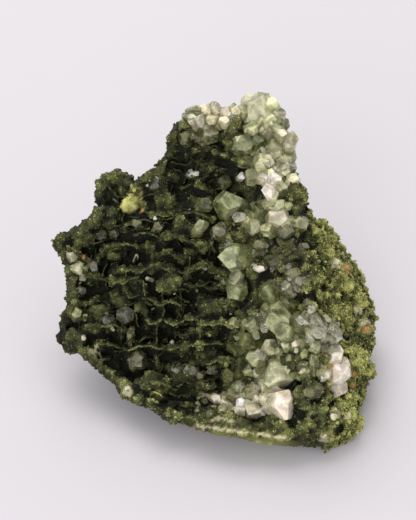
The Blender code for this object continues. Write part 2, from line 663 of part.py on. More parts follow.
def main():
    clear_scene()
    epidote = finish("epidote", (0.09, 0.12, 0.035), 0.75)
    quartz = finish("quartz", (0.55, 0.62, 0.42), 0.2)
    rock = grown_rock()
    tree = BVHTree.FromBMesh(masses_mesh())
    groups, seats = quartz_groups(tree)
    small_rows = [(*row, SMALL_TIP) for row in SMALL_QUARTZ]
    small = crystals_of(tree, small_rows, SMALL_SPIN, 0.0)
    combine(rock, "UNION", small)
    combine(rock, "DIFFERENCE", seats)
    flat_base(rock)
    keep_largest_body(rock)
    rock.data.materials.clear()
    rock.data.materials.append(epidote)
    for group in groups:
        group.data.materials.clear()
        group.data.materials.append(quartz)


main()
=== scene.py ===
import bmesh
import bpy
import numpy as np
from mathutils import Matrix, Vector
from mathutils.bvhtree import BVHTree


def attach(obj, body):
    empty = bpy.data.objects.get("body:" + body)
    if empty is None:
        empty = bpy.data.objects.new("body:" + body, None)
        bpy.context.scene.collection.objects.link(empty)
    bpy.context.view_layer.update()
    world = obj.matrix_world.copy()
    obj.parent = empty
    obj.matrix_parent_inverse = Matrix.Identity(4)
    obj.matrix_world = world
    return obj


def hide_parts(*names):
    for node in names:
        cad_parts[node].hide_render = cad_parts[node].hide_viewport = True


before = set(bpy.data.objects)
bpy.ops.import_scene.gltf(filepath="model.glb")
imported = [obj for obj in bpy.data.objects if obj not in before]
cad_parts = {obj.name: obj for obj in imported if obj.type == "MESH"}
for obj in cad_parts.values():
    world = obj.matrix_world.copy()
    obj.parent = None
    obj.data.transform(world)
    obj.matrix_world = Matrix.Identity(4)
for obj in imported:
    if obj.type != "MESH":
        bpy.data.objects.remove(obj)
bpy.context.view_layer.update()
mm = 0.001

# The leaning face: how far it leans back, and the place that its lengths are taken from
faceFrame = {"lean": np.radians(42.0), "place": np.array([-0.7, 1.4, 40.0])}
lean = faceFrame["lean"]
acrossWay = np.array([1.0, 0.0, 0.0])
upWay = np.array([0.0, np.sin(lean), np.cos(lean)])
outWay = np.array([0.0, -np.cos(lean), np.sin(lean)])


def fromFace(across, up, out):
    # the face's place, plus each length times its own direction
    across, up, out = np.broadcast_arrays(*(np.asarray(v, float) for v in (across, up, out)))
    return (across[..., None] * acrossWay + up[..., None] * upWay + out[..., None] * outWay
            + faceFrame["place"])


def toFace(points):
    # how far each point is from the face's place along each of its directions
    away = points - faceFrame["place"]
    return away @ acrossWay, away @ upWay, away @ outWay


def unit(vectors):
    # each vector divided by its length
    return vectors / np.maximum(np.linalg.norm(vectors, axis=-1, keepdims=True), 1e-9)


def smoothStep(low, high, values):
    # 0 at low, 1 at high, and t squared times (3 - 2t) between them
    t = np.clip((values - low) / (high - low), 0, 1)
    return t * t * (3 - 2 * t)


# Value noise from -1 to 1: random heights at whole steps of a lattice, blended between
noiseMix = {"cell": (374761393, 668265263, 2147483647), "seed": 1274126177}


def latticeHeight(cell, seed):
    # a step's three numbers and the seed, each times a large number, shuffled by shifts
    x, y, z = noiseMix["cell"]
    mixed = cell[..., 0] * x + cell[..., 1] * y + cell[..., 2] * z + seed * noiseMix["seed"]
    mixed = mixed & 0xFFFFFFFF
    mixed = ((mixed ^ (mixed >> 13)) * noiseMix["seed"]) & 0xFFFFFFFF
    return ((mixed ^ (mixed >> 16)) & 0xFFFF) / 32767.5 - 1


def valueNoise(points, size, seed):
    # the heights of the eight steps round a point, each by its share of the way to it
    place = points / size
    cell = np.floor(place).astype(np.int64)
    part = place - cell
    blend = part * part * (3 - 2 * part)
    total = np.zeros(points.shape[:-1])
    for corner in np.ndindex(2, 2, 2):
        share = np.prod(np.where(corner, blend, 1 - blend), axis=-1)
        total += share * latticeHeight(cell + np.array(corner), seed)
    return total


def noiseSum(points, waves, seed=0, start=0):
    # start, plus the height of each wave (size, height, its own seed) times its noise
    return sum((height * valueNoise(points, size, seed + own) for size, height, own in waves), start)


def setValues(mesh, masks):
    # a number for each point under each name, for the materials to read
    for key, values in masks.items():
        layer = mesh.attributes.new(key, "FLOAT", "POINT")
        layer.data.foreach_set("value", values.astype(np.float32))


def meshOf(name, points, faces, attributes=None):
    # a mesh from arrays: points in millimetres, faces all with the same number of corners
    mesh = bpy.data.meshes.new(name)
    mesh.vertices.add(len(points))
    mesh.vertices.foreach_set("co", (points * mm).astype(np.float32).ravel())
    mesh.loops.add(faces.size)
    mesh.loops.foreach_set("vertex_index", faces.astype(np.int32).ravel())
    mesh.polygons.add(len(faces))
    starts = np.arange(0, faces.size, faces.shape[1], dtype=np.int32)
    mesh.polygons.foreach_set("loop_start", starts)
    mesh.update(calc_edges=True)
    setValues(mesh, attributes or {})
    return mesh


def addPiece(name, mesh, finish):
    piece = bpy.data.objects.new(name, mesh)
    bpy.context.scene.collection.objects.link(piece)
    mesh.materials.append(finish)
    return piece


def applied(piece):
    # the mesh as its modifiers leave it, put back on the piece
    graph = bpy.context.evaluated_depsgraph_get()
    mesh = bpy.data.meshes.new_from_object(piece.evaluated_get(graph))
    piece.modifiers.clear()
    piece.data = mesh
    return mesh


def pointsOf(mesh):
    # the mesh's points in millimetres
    points = np.empty(len(mesh.vertices) * 3, np.float32)
    mesh.vertices.foreach_get("co", points)
    return points.reshape(-1, 3).astype(float) / mm


def movePoints(mesh, points):
    # the mesh's points put at the given places in millimetres
    mesh.vertices.foreach_set("co", (points * mm).astype(np.float32).ravel())
    mesh.update()


def normalsOf(mesh):
    # the way the surface faces at each point
    normals = np.empty(len(mesh.vertices) * 3, np.float32)
    mesh.vertices.foreach_get("normal", normals)
    return normals.reshape(-1, 3).astype(float)


def trianglesOf(mesh):
    # three point numbers for each triangle
    mesh.calc_loop_triangles()
    corners = np.empty(len(mesh.loop_triangles) * 3, np.int32)
    mesh.loop_triangles.foreach_get("vertices", corners)
    return corners.reshape(-1, 3)


# Materials: a wired socket can be used in sums, and each operator adds its Math node
class Wire:
    def __init__(self, finish, socket):
        self.finish = finish
        self.socket = socket

    def maths(self, operation, other):
        return self.finish.node("ShaderNodeMath", {"operation": operation}, {0: self, 1: other})

    def __add__(self, other):
        return self.maths("ADD", other)

    def __sub__(self, other):
        return self.maths("SUBTRACT", other)

    def __mul__(self, other):
        return self.maths("MULTIPLY", other)

    def clamped(self):
        return self.finish.node("ShaderNodeClamp", {}, {"Value": self})

    def between(self, low, high):
        # 0 at low and 1 at high, smooth between
        return self.finish.node(
            "ShaderNodeMapRange", {"interpolation_type": "SMOOTHSTEP"},
            {"Value": self, "From Min": low, "From Max": high},
        )


class Finish:
    def __init__(self, name):
        self.material = bpy.data.materials.new(name)
        self.material.use_nodes = True
        self.tree = self.material.node_tree
        self.tree.nodes.clear()

    def node(self, kind, settings, sockets, output=0):
        # a node with its settings made and each socket wired, or given its value
        made = self.tree.nodes.new(kind)
        for key, value in settings.items():
            if key == "stops":
                ramp = made.color_ramp
                while len(ramp.elements) < len(value):
                    ramp.elements.new(1.0)
                for element, (place, colour) in zip(ramp.elements, value):
                    element.position = place
                    element.color = (*colour, 1)
            else:
                setattr(made, key, value)
        for key, value in sockets.items():
            if isinstance(value, Wire):
                self.tree.links.new(value.socket, made.inputs[key])
            else:
                made.inputs[key].default_value = value
        return Wire(self, made.outputs[output])

    def place(self):
        return self.node("ShaderNodeTexCoord", {}, {}, "Object")

    def attribute(self, name, output="Fac"):
        return self.node("ShaderNodeAttribute", {"attribute_name": name}, {}, output)

    def noise(self, grain, detail, rough):
        # grain is the size of its blotches in millimetres
        return self.node("ShaderNodeTexNoise", {}, {
            "Vector": self.place(), "Scale": 1 / (grain * mm), "Detail": detail, "Roughness": rough})

    def mix(self, mask, first, second, blend="MIX"):
        colours = {0: mask, 6: first, 7: second}
        for key in (6, 7):
            if not isinstance(colours[key], Wire):
                colours[key] = (*colours[key], 1)
        return self.node("ShaderNodeMix", {"data_type": "RGBA", "blend_type": blend}, colours, 2)

    def ramp(self, value, stops):
        return self.node("ShaderNodeValToRGB", {"stops": stops}, {0: value})

    def bump(self, height, reach, strength):
        return self.node("ShaderNodeBump", {}, {
            "Height": height, "Distance": reach * mm, "Strength": strength})

    def shader(self, sockets):
        return self.node("ShaderNodeBsdfPrincipled", {}, sockets)

    def done(self, surface, volume=None):
        ends = {"Surface": surface}
        if volume:
            ends["Volume"] = volume
        output = self.tree.nodes.new("ShaderNodeOutputMaterial")
        for key, value in ends.items():
            self.tree.links.new(value.socket, output.inputs[key])
        return self.material


# The crust's colours, from painted shade in its hollows to the lit tips of its needles,
# which are partly their own paler colour and partly painted light
crustColours = {
    "hollowShade": (0.008, 0.009, 0.004),
    "deep": (0.05, 0.055, 0.018),
    "olive": (0.16, 0.173, 0.053),
    "tip": (0.42, 0.445, 0.165),
    "pale": (0.55, 0.57, 0.32),
    # the flank's own lighter crust, painted lighter still for the light on that side
    "flankLow": (0.11, 0.118, 0.034),
    "flank": (0.56, 0.575, 0.18),
    "band": (0.27, 0.285, 0.09),
    "cream": (0.66, 0.61, 0.38),
    "straw": (0.6, 0.585, 0.2),
    "rust": (0.45, 0.27, 0.1),
}
crustLook = {
    "fine": (0.5, 3.0, 0.7),  # a noise's blotch size, detail and roughness
    "middle": (2.6, 3.0, 0.55),
    "shade": {"ridge": 0.75, "fine": 0.45, "middle": 0.3, "less": 0.42},
    # each ramp's low stops are painted shade, and its top stops partly painted light
    "face": [(0.14, "hollowShade"), (0.4, "deep"), (0.64, "olive"), (0.86, "tip"), (1.0, "pale")],
    "flank": [(0.12, "hollowShade"), (0.36, "flankLow"), (0.8, "flank"), (1.0, "straw")],
    "stains": {"band": (1.0, 0.35), "straw": (1.3, 0.2), "cream": (1.3, 0.15)},
    "relief": {"fine": 0.7, "middle": 0.3, "reach": 0.3, "strength": 0.8},
    "gloss": 0.22,
}


def crustFinish(name, lift, roughness):
    # the shade is a sum of the ridge mask, which holds painted light and shade, and of noises,
    # and picks the colour from its ramp, so its dark end is painted shade and its light end partly
    # painted light; a stain shows more where the shade is light. Lift makes needles lighter than the
    # crust
    look, shares, relief = crustLook, crustLook["shade"], crustLook["relief"]
    f = Finish(name)
    fine = f.noise(*look["fine"])
    middle = f.noise(*look["middle"])
    shade = f.attribute("ridge") * shares["ridge"] + fine * shares["fine"] + middle * shares["middle"]
    shade = (shade + (lift - shares["less"])).clamped()
    greens = {side: f.ramp(shade, [(at, crustColours[key]) for at, key in look[side]])
              for side in ("face", "flank")}
    colour = f.mix(f.attribute("flank"), greens["face"], greens["flank"])
    for key, (share, least) in look["stains"].items():
        mask = (f.attribute(key) * (shade * share + least)).clamped()
        colour = f.mix(mask, colour, crustColours[key])
    colour = f.mix(f.attribute("rust"), colour, crustColours["rust"])
    height = fine * relief["fine"] + middle * relief["middle"]
    return f.done(f.shader({
        "Base Color": colour, "Roughness": roughness, "Specular IOR Level": look["gloss"],
        "Normal": f.bump(height, relief["reach"], relief["strength"]),
    }))


# What all the quartz has. A mask's pair is where it begins and where it is whole, and a
# noise has its detail and roughness, after its blotch size where that never varies
crystalLook = {
    "cloud": (4.0, 0.62), "speck": (0.7, 3.0, 0.65), "line": (3.0, 0.6), "linesPerMm": 2.6,
    "relief": {"line": 0.8, "speck": 0.2, "reach": 0.08, "strength": 0.6},
    # rim is painted light along the crystals' edges, which also makes them milkier
    "rimCloud": (0.36, 0.6), "milkCloud": (0.4, 0.64), "brightCloud": (0.3, 0.65),
    "milk": {"cloud": 0.3, "facet": 0.3, "rim": 0.14, "less": 0.36},
    # bright is painted light on some facets and towards the tip, with the lighter clouds
    "bright": {"cloud": 0.3, "facet": 0.5, "tip": 0.35}, "tip": (0.0, 4.5),
    # glow and rimGlow set how far the frost and the painted edge light lean to the light colour
    "glow": 1.3, "rimGlow": 0.3, "frost": (0.56, 0.72), "dust": (0.44, 0.34),
    "moss": (2.2, -0.6), "mossLess": 0.12,
    "clear": {"Roughness": 0.08, "IOR": 1.544, "Transmission Weight": 1.0},
    "milky": {"Roughness": 0.16, "IOR": 1.544, "Specular IOR Level": 0.6, "Subsurface Weight": 0.4,
              "Subsurface Radius": (1.0, 1.0, 0.6), "Subsurface Scale": 1.6 * mm,
              "Coat Weight": 0.5, "Coat Roughness": 0.06},
}
# What each kind of quartz has of its own: shade is the painted shade of its darker parts,
# and light the colour that its frost and its painted edge light lean to
quartzLooks = {
    "pale_quartz": {
        "shade": (0.56, 0.58, 0.34), "light": (0.95, 0.94, 0.78), "clear": (0.98, 0.95, 0.8),
        "depth": (0.86, 0.85, 0.6), "density": 40, "cloudSize": 3.0, "frost": 0.3, "dust": 0.2},
    "green_quartz": {
        "shade": (0.44, 0.48, 0.3), "light": (0.82, 0.84, 0.6), "clear": (0.91, 0.92, 0.62),
        "depth": (0.76, 0.78, 0.4), "density": 60, "cloudSize": 2.8, "frost": 0.3, "dust": 0.3},
    "milky_quartz": {
        "shade": (0.74, 0.65, 0.46), "light": (1.0, 0.95, 0.85), "clear": (0.99, 0.96, 0.9),
        "depth": (0.92, 0.88, 0.74), "density": 30, "cloudSize": 3.6, "frost": 0.35, "dust": 0.15},
}


def quartzFinish(name, look):
    # clear quartz and milky quartz in clouds of the same crystal; each crystal's own
    # colour and milkiness are attributes, and fine growth lines run round its axis. Its
    # colour has painted light, with facets of random brightness and more light towards the tip
    # and at the edges, and the rest is darkened by its shade colour, painted shade
    every, relief, milkOf, brightOf = (crystalLook, crystalLook["relief"], crystalLook["milk"],
                                       crystalLook["bright"])
    f = Finish(name)
    cloud = f.noise(look["cloudSize"], *every["cloud"])
    speck = f.noise(*every["speck"])
    detail, rough = every["line"]
    lines = f.node("ShaderNodeTexNoise", {"noise_dimensions": "1D"}, {
        "W": f.attribute("along") * every["linesPerMm"], "Scale": 1.0, "Detail": detail,
        "Roughness": rough})
    normal = f.bump(lines * relief["line"] + speck * relief["speck"], relief["reach"],
                    relief["strength"])
    facet = f.attribute("facet")
    # painted light along the edges, through the clouds
    rim = f.attribute("edge") * cloud.between(*every["rimCloud"])
    milk = f.attribute("milk") + cloud.between(*every["milkCloud"]) * milkOf["cloud"]
    milk = (milk + facet * milkOf["facet"] + rim * milkOf["rim"] - milkOf["less"]).clamped()
    tint = f.attribute("tint", "Color")
    # painted light: lighter clouds, facets lighter at random and lighter towards the tip; elsewhere
    # painted shade
    bright = cloud.between(*every["brightCloud"]) * brightOf["cloud"] + facet * brightOf["facet"]
    bright = (bright + f.attribute("along").between(*every["tip"]) * brightOf["tip"]).clamped()
    body = f.mix(bright, f.mix(1.0, tint, look["shade"], "MULTIPLY"), tint)
    glow = f.node("ShaderNodeRGBToBW", {}, {"Color": tint}) * every["glow"]
    frost = rim * every["rimGlow"] + speck.between(*every["frost"]) * look["frost"]
    body = f.mix((glow * frost).clamped(), body, look["light"])
    moss = (speck - every["mossLess"]) * f.attribute("along").between(*every["moss"])
    moss = speck.between(*every["dust"]) * look["dust"] + moss
    body = f.mix(moss.clamped(), body, crustColours["olive"])
    clear = f.shader({"Base Color": (*look["clear"], 1), "Normal": normal, **every["clear"]})
    milky = f.shader({"Base Color": body, "Normal": normal, **every["milky"]})
    surface = f.node("ShaderNodeMixShader", {}, {0: milk, 1: clear, 2: milky})
    volume = f.node("ShaderNodeVolumeAbsorption", {}, {
        "Color": (*look["depth"], 1), "Density": look["density"]})
    return f.done(surface, volume)


quartzMaterials = {name: quartzFinish(name, look) for name, look in quartzLooks.items()}
crustMaterial = crustFinish("epidote_crust", 0.0, 0.75)
needleMaterial = crustFinish("epidote_needles", 0.14, 0.55)
print("materials made:", len(bpy.data.materials))

# The rock as the solid has it, its small parts merged
rockShape = {"merge": 0.02, "voxel": 1.0, "soften": 0.5, "passes": 3}
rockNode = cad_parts["epidote_matrix"]
rockMesh = rockNode.data.copy()
rock = bpy.data.objects.new("epidote_crust", rockMesh)
bpy.context.scene.collection.objects.link(rock)
weld = rock.modifiers.new("weld", "WELD")
weld.merge_threshold = rockShape["merge"] * mm
even = rock.modifiers.new("even", "REMESH")
even.mode = "VOXEL"
even.voxel_size = rockShape["voxel"] * mm
soften = rock.modifiers.new("soften", "SMOOTH")
soften.factor = rockShape["soften"]
soften.iterations = rockShape["passes"]
rockMesh = applied(rock)
print("rock evened:", len(rockMesh.vertices), "points")

# How far out the rock is over a grid of the face, looked at square on
levelGrid = {"low": np.array([-60.0, -64.0]), "size": (122, 126), "step": 1.0, "far": 100.0}


def lookedLevels(mesh):
    # a ray from far out to each place of the grid stops at the level; none off the rock
    tree = BVHTree.FromPolygons(
        [Vector(v) for v in pointsOf(mesh)], [tuple(t) for t in trianglesOf(mesh).tolist()])
    columns, rows = levelGrid["size"]
    levels = np.full((columns, rows), np.nan)
    toward = Vector(-outWay)
    for i in range(columns):
        for j in range(rows):
            across, up = levelGrid["low"] + levelGrid["step"] * np.array([i, j])
            hit = tree.ray_cast(Vector(fromFace(across, up, levelGrid["far"])), toward)[0]
            if hit is not None:
                levels[i, j] = (np.array(hit) - faceFrame["place"]) @ outWay
    return levels


def shifted(grid, di, dj):
    # the grid moved by whole steps, with its border's values carried on
    padded = np.pad(grid, ((abs(di), abs(di)), (abs(dj), abs(dj))), mode="edge")
    i, j = abs(di) + di, abs(dj) + dj
    return padded[i:i + grid.shape[0], j:j + grid.shape[1]]


def lowered(grid, reach):
    # the lowest value within reach of each place
    found = grid.copy()
    for di in range(-reach, reach + 1):
        for dj in range(-reach, reach + 1):
            if di * di + dj * dj <= reach * reach:
                found = np.minimum(found, shifted(grid, di, dj))
    return found


def blurred(grid, times):
    # half of each place's own value and an eighth of each of its four neighbours'
    for _ in range(times):
        grid = (grid * 4 + shifted(grid, 1, 0) + shifted(grid, -1, 0) + shifted(grid, 0, 1)
                + shifted(grid, 0, -1)) / 8
    return grid


def spread(grid, bottom, fall, times):
    # a place off the rock takes the highest level beside it, a little lower for each step
    found = np.where(np.isfinite(grid), grid, bottom)
    for _ in range(times):
        beside = [shifted(found, *way) - fall for way in ((1, 0), (-1, 0), (0, 1), (0, -1))]
        found = np.where(np.isfinite(grid), found, np.maximum.reduce([found, *beside]))
    return found


def sampled(grid, across, up):
    # the grid's value between its places: the four round it, each by its nearness
    x = np.clip((across - levelGrid["low"][0]) / levelGrid["step"], 0, grid.shape[0] - 1.001)
    y = np.clip((up - levelGrid["low"][1]) / levelGrid["step"], 0, grid.shape[1] - 1.001)
    i, j = x.astype(int), y.astype(int)
    u, v = x - i, y - j
    return (grid[i, j] * (1 - u) * (1 - v) + grid[i + 1, j] * u * (1 - v)
            + grid[i, j + 1] * (1 - u) * v + grid[i + 1, j + 1] * u * v)


# Three surfaces over the grid: the ground between small bumps, the rock with its pits
# filled, and how far a place is inside the rock's outline
levelShape = {
    "ground": {"off": 40.0, "reach": 3, "blur": 6},
    "filled": {"bottom": -60.0, "fall": 0.35, "steps": 20, "reach": 5, "blur": 4},
    "inside": {"reach": 3, "blur": 3},
}
ground, filled, inner = levelShape["ground"], levelShape["filled"], levelShape["inside"]
rawLevels = lookedLevels(rockMesh)
onRock = np.isfinite(rawLevels)
groundLevels = lowered(np.where(onRock, rawLevels, ground["off"]), ground["reach"])
groundLevels = blurred(groundLevels, ground["blur"])
edgeLevels = spread(rawLevels, filled["bottom"], filled["fall"], filled["steps"])
filledLevels = lowered(-lowered(-edgeLevels, filled["reach"]), filled["reach"])
filledLevels = blurred(filledLevels, filled["blur"])
inside = blurred(lowered(onRock.astype(float), inner["reach"]), inner["blur"])
crestLine = {  # the crest's left border: the face is hollowed left of it and filled right of it
    "up": [-60, -48, -40, -30, -20, -10, 0, 12, 22, 30, 40, 60],
    "across": [-30, -6, 2, 7, 5, 9, 3, 5, 1, 8, 7, -20],
    "border": (-1.5, 3.0),
}


def leftOfCrest(across, up):
    # 1 left of the crest's border, 0 right of it
    line = np.interp(up, crestLine["up"], crestLine["across"])
    return smoothStep(*crestLine["border"], line - across)


def restLevel(across, up):
    # what a crystal stands on: the ground left of the crest, the filled rock right of it
    left = leftOfCrest(across, up)
    return left * sampled(groundLevels, across, up) + (1 - left) * sampled(filledLevels, across, up)


print("face levels read:", int(onRock.sum()))

# Ledges across the face, as the solid has them, then finer ones between them:
# height above the face, and the places (across, up) that each runs through
ledges = [
    (6.5, [(-35, -2), (-31.5, -1.3), (-25, -0.7), (-23.5, -1.3)]),
    (6.0, [(-23.5, -1.3), (-23.3, -4.3), (-22.7, -7.7)]),
    (5.0, [(-29, -2.7), (-29, -5), (-27, -6.3), (-24.3, -5.7)]),
    (6.5, [(-24.3, -7), (-20.3, -8.3), (-17, -9.7), (-13.7, -9), (-10.3, -9.7)]),
    (6.0, [(-17.3, -9.3), (-16.7, -11.7), (-16.7, -14.3)]),
    (7.5, [(-22.7, -14.3), (-19.3, -15), (-16.7, -14), (-12.7, -15.3), (-7.7, -14.3),
           (-2.7, -15.3), (3, -15), (9, -16.5)]),
    (6.0, [(-18.3, -15.3), (-18.7, -19), (-19.3, -23.3)]),
    (5.5, [(-43.3, -18.3), (-39.3, -17.3), (-34.3, -16.7), (-31, -17), (-27.3, -18.7)]),
    (7.0, [(-38.7, -22.7), (-33.7, -23.3), (-29.3, -25), (-24.3, -23.7), (-19.3, -23.7),
           (-13.7, -24.3), (-8.3, -23), (-2.7, -23), (4, -22)]),
    (5.0, [(-19, -26.3), (-18.7, -29), (-18, -31.3)]),
    (8.5, [(-25, -35.3), (-21, -34), (-17.7, -34.3), (-13.7, -35.7)]),
    (6.0, [(-12.7, -36.3), (-8.3, -35), (-4.3, -36), (-0.3, -37)]),
    (5.0, [(-21.7, -41.3), (-17, -43.7), (-11, -42.3), (-5, -42.3)]),
    (6.5, [(-6, -9.7), (-2.7, -8), (2.3, -8.7), (8.3, -9.3)]),
    (5.5, [(-39.3, 4.3), (-36.3, 8), (-31.7, 10.3), (-27, 10.7), (-24.3, 9.3)]),
    (5.5, [(-35, 0.3), (-30.3, 2.3), (-24.3, 2.3), (-18.3, 3.3), (-13.7, 1.7)]),
    (5.0, [(-21, 5.7), (-16, 7.7), (-11, 6.3), (-6, 8.3)]),
    (6.0, [(-7, 41), (-2.7, 41.7), (2.3, 41), (7.7, 39.7), (12.3, 38.3)]),
    (5.0, [(-11, 28.3), (-6, 30.3), (-1, 29)]),
    (5.0, [(-11.7, 20), (-7.7, 22), (-3.3, 20.3), (-0.3, 18.3)]),
    (5.0, [(-22.7, 22.3), (-18.3, 20.3), (-13.7, 21)]),
    (5.0, [(-17.7, 12.3), (-12.7, 13.7), (-7.7, 11.7), (-3.3, 9.7)]),
    (5.5, [(-9.3, -1), (-7, 2.3), (-2.7, 4.3), (0.7, 2.3)]),
    (4.5, [(-47, -8.3), (-44.3, -9.3), (-39.3, -8.3), (-34.3, -10.3)]),
    (5.0, [(-3, -29), (2, -27.5), (7, -29)]),
    (3.5, [(-6, -47.6), (2, -49), (10, -50), (18, -50.8), (26, -52)]),
    (4.0, [(-44, 1.5), (-40, -0.5), (-36, -1.5), (-31, -3)]),
    (3.5, [(-36, -6), (-33, -5), (-31, -7), (-28, -9)]),
    (4.0, [(-14, -18.5), (-9, -19.5), (-4, -18.5), (1, -19)]),
    (3.6, [(-12, -29.5), (-7, -28), (-3, -29)]),
    (4.0, [(-5, 35), (0, 36.5), (5, 35)]),
    (3.6, [(-9, 34), (-5, 33), (-1, 34)]),
    (3.6, [(-31, 16), (-27, 17.5), (-23, 16)]),
    (3.2, [(-45, -15), (-41, -13.5), (-37, -14)]),
    (3.5, [(-10, -3.5), (-5, -3), (0, -4), (5, -3)]),
    (3.0, [(-15, -38.5), (-10, -39.5), (-5, -39)]),
    (3.2, [(-8, -23.5), (-8.6, -27), (-9, -30)]),
    (3.2, [(-4, -15.5), (-4.3, -19), (-3.6, -22.5)]),
    (3.4, [(-10.5, -10), (-11, -12.5), (-10.6, -15)]),
    (3.4, [(-30, -17.5), (-30.5, -20), (-31, -23)]),
]
# Walls of crust. A wall's cross-section is a row of rises, each with its width: widest at
# the foot and again at the lip. Each wave is its size, height and own seed
wallShape = {
    "step": 0.7, "root": 6.0, "foot": 2.0, "lip": 1.1, "girth": 1.0, "seed": 20,
    "rings": [(-1.0, 1.0), (0.0, 1.0), (0.45, 0.62), (0.78, 0.75), (0.93, 1.0), (1.0, 0.45)],
    "wander": [(3.0, 0.7, 3), (1.2, 0.3, 4)],
    "tall": 0.8, "tallWaves": [(3.4, 0.34, 0), (1.1, 0.2, 1), (0.5, 0.16, 5)],
    "gap": 0.35, "gapFrom": (-0.75, -0.35), "gapSize": 2.2, "taper": 3, "tip": 0.6,
    "lipWaves": [(2.6, 0.35, 2)], "droop": 0.16, "droopWaves": [(1.0, 0.14, 7)], "bend": 1.5,
}


def smoothRoute(points, step):
    # places about a step apart on the smooth curve through the given ones
    given = np.array(points, float)
    ends = np.vstack([2 * given[0] - given[1], given, 2 * given[-1] - given[-2]])
    found = []
    for a, b, c, d in zip(ends[:-3], ends[1:-2], ends[2:-1], ends[3:]):
        count = max(1, round(float(np.linalg.norm(c - b)) / step))
        t = (np.arange(count) / count)[:, None]
        found.append(0.5 * (2 * b + (c - a) * t + (2 * a - 5 * b + 4 * c - d) * t ** 2
                            + (3 * b - a - 3 * c + d) * t ** 3))
    return np.vstack(found + [given[-1:]])


def wallArrays(shape, height, places, seed):
    # a thin wall: its cross-section is carried along the route, while its height and
    # thickness wander, gaps and the two ends lower it, and its lip droops
    route = smoothRoute(places, shape["step"])
    way = unit(np.gradient(route, axis=0))
    side = np.stack([-way[:, 1], way[:, 0]], axis=1)
    spots = np.column_stack([route, np.full(len(route), seed * 7.0)])
    route = route + side * noiseSum(spots, shape["wander"], seed)[:, None]
    tall = height * noiseSum(spots, shape["tallWaves"], seed, shape["tall"])
    whole = smoothStep(*shape["gapFrom"], valueNoise(spots, shape["gapSize"], seed + 6))
    tall = tall * (shape["gap"] + (1 - shape["gap"]) * whole)
    droop = noiseSum(spots[:1], shape["droopWaves"], seed, shape["droop"])[0]
    fromEnd = np.minimum(np.arange(len(route)), np.arange(len(route))[::-1])
    ends = smoothStep(0, shape["taper"], fromEnd + shape["tip"])
    tall = tall * (shape["gap"] + (1 - shape["gap"]) * ends)
    thick = shape["girth"] * shape["lip"] * noiseSum(spots, shape["lipWaves"], seed, 1)
    level = sampled(groundLevels, route[:, 0], route[:, 1])
    rings = []
    for sign in (1, -1):
        for rise, width in shape["rings"][::sign]:
            out = level + np.where(rise < 0, rise * shape["root"], rise * tall)
            wide = np.where(rise <= 0.0, shape["foot"], thick) * width
            drop = droop * tall * max(rise, 0) ** shape["bend"] * np.abs(way[:, 0])
            spot = route + side * (sign * wide / 2)[:, None]
            rings.append(fromFace(spot[:, 0], spot[:, 1] - drop, out))
    grid = np.stack(rings, axis=1)
    long, around = grid.shape[:2]
    i, k = np.meshgrid(np.arange(long - 1), np.arange(around), indexing="ij")
    corner = i * around + k
    beside = i * around + (k + 1) % around
    faces = np.stack([corner, beside, beside + around, corner + around], axis=-1).reshape(-1, 4)
    k = np.arange(around // 2 - 1)
    cap = np.stack([k, around - 1 - k, around - 2 - k, k + 1], axis=-1)
    faces = np.vstack([faces, cap, (cap + (long - 1) * around)[:, ::-1]])
    return grid.reshape(-1, 3), faces


# Rounded lumps of crust: across, up, radius, stretch across
lumps = [
    (-13.7, -2.7, 4.6, 1.2), (0.7, -11, 4.2, 1.8), (-2.7, -26, 3.6, 1.3), (-31, -8.5, 3.6, 1.3),
    (-37.7, -12.3, 3.2, 1.2), (-46, -21, 4.0, 1.1), (-9.3, 16.7, 3.8, 1.2), (-16, 25, 4.2, 1.2),
    (-27.7, 23.3, 4.0, 1.0), (-36, 19, 4.2, 1.3), (-43, 12.5, 4.0, 1.2), (9, 13.3, 4.0, 1.2),
    (15, 3.5, 4.6, 1.2), (29, 4.3, 4.0, 1.0), (-19, -36.5, 4.4, 1.5), (-34, 33, 3.4, 1.2),
    (36, 8, 4.4, 1.2), (42, -2, 5.0, 1.0), (47, -9, 4.4, 1.1), (43, -15, 4.8, 1.0),
    (50, -20, 4.0, 1.0), (46, -28, 4.6, 1.0), (51, -33, 3.6, 1.0), (44, -42, 4.8, 1.1),
    (46, -49, 4.0, 1.0), (38, -50, 4.6, 1.3), (34, -44, 4.0, 1.1), (-6, 25, 2.4, 1.2),
    (-13, 33, 2.6, 1.3), (-21, 9, 2.4, 1.2), (-33, 6, 2.2, 1.2), (-24, -11, 2.4, 1.3),
    (-9, -33, 2.2, 1.4), (7, 9, 2.4, 1.2), (-2, 10, 2.6, 1.2),
]
lumpShape = {"around": 18, "down": 10, "pole": 0.12, "sunk": 0.25}


def lumpArrays(across, up, radius, stretch, levels):
    # a ball pressed into the face: the sines and cosines of a turn and a fall on a grid,
    # with a point in the middle of each pole's ring
    around, down, pole = lumpShape["around"], lumpShape["down"], lumpShape["pole"]
    turn = np.linspace(0, 2 * np.pi, around, endpoint=False)
    fall = np.linspace(pole, np.pi - pole, down)
    t, s = np.meshgrid(turn, fall)
    level = float(sampled(levels, np.array(across), np.array(up)))
    points = fromFace(
        across + radius * stretch * np.sin(s) * np.cos(t), up + radius * np.sin(s) * np.sin(t),
        level - lumpShape["sunk"] * radius + radius * np.cos(s)).reshape(-1, 3)
    poles = np.vstack([points[:around].mean(0), points[-around:].mean(0)])
    i, k = np.meshgrid(np.arange(down - 1), np.arange(around), indexing="ij")
    a = (i * around + k).ravel()
    b = (i * around + (k + 1) % around).ravel()
    faces = np.stack([a, a + around, b + around, b], axis=-1)
    k = np.arange(around)
    after = (k + 1) % around
    last = (down - 1) * around
    top = np.full(around, len(points))
    upper = np.stack([top, k, after, after], -1)
    lower = np.stack([last + after, last + k, top + 1, top + 1], -1)
    return np.vstack([points, poles]), np.vstack([faces, upper, lower])


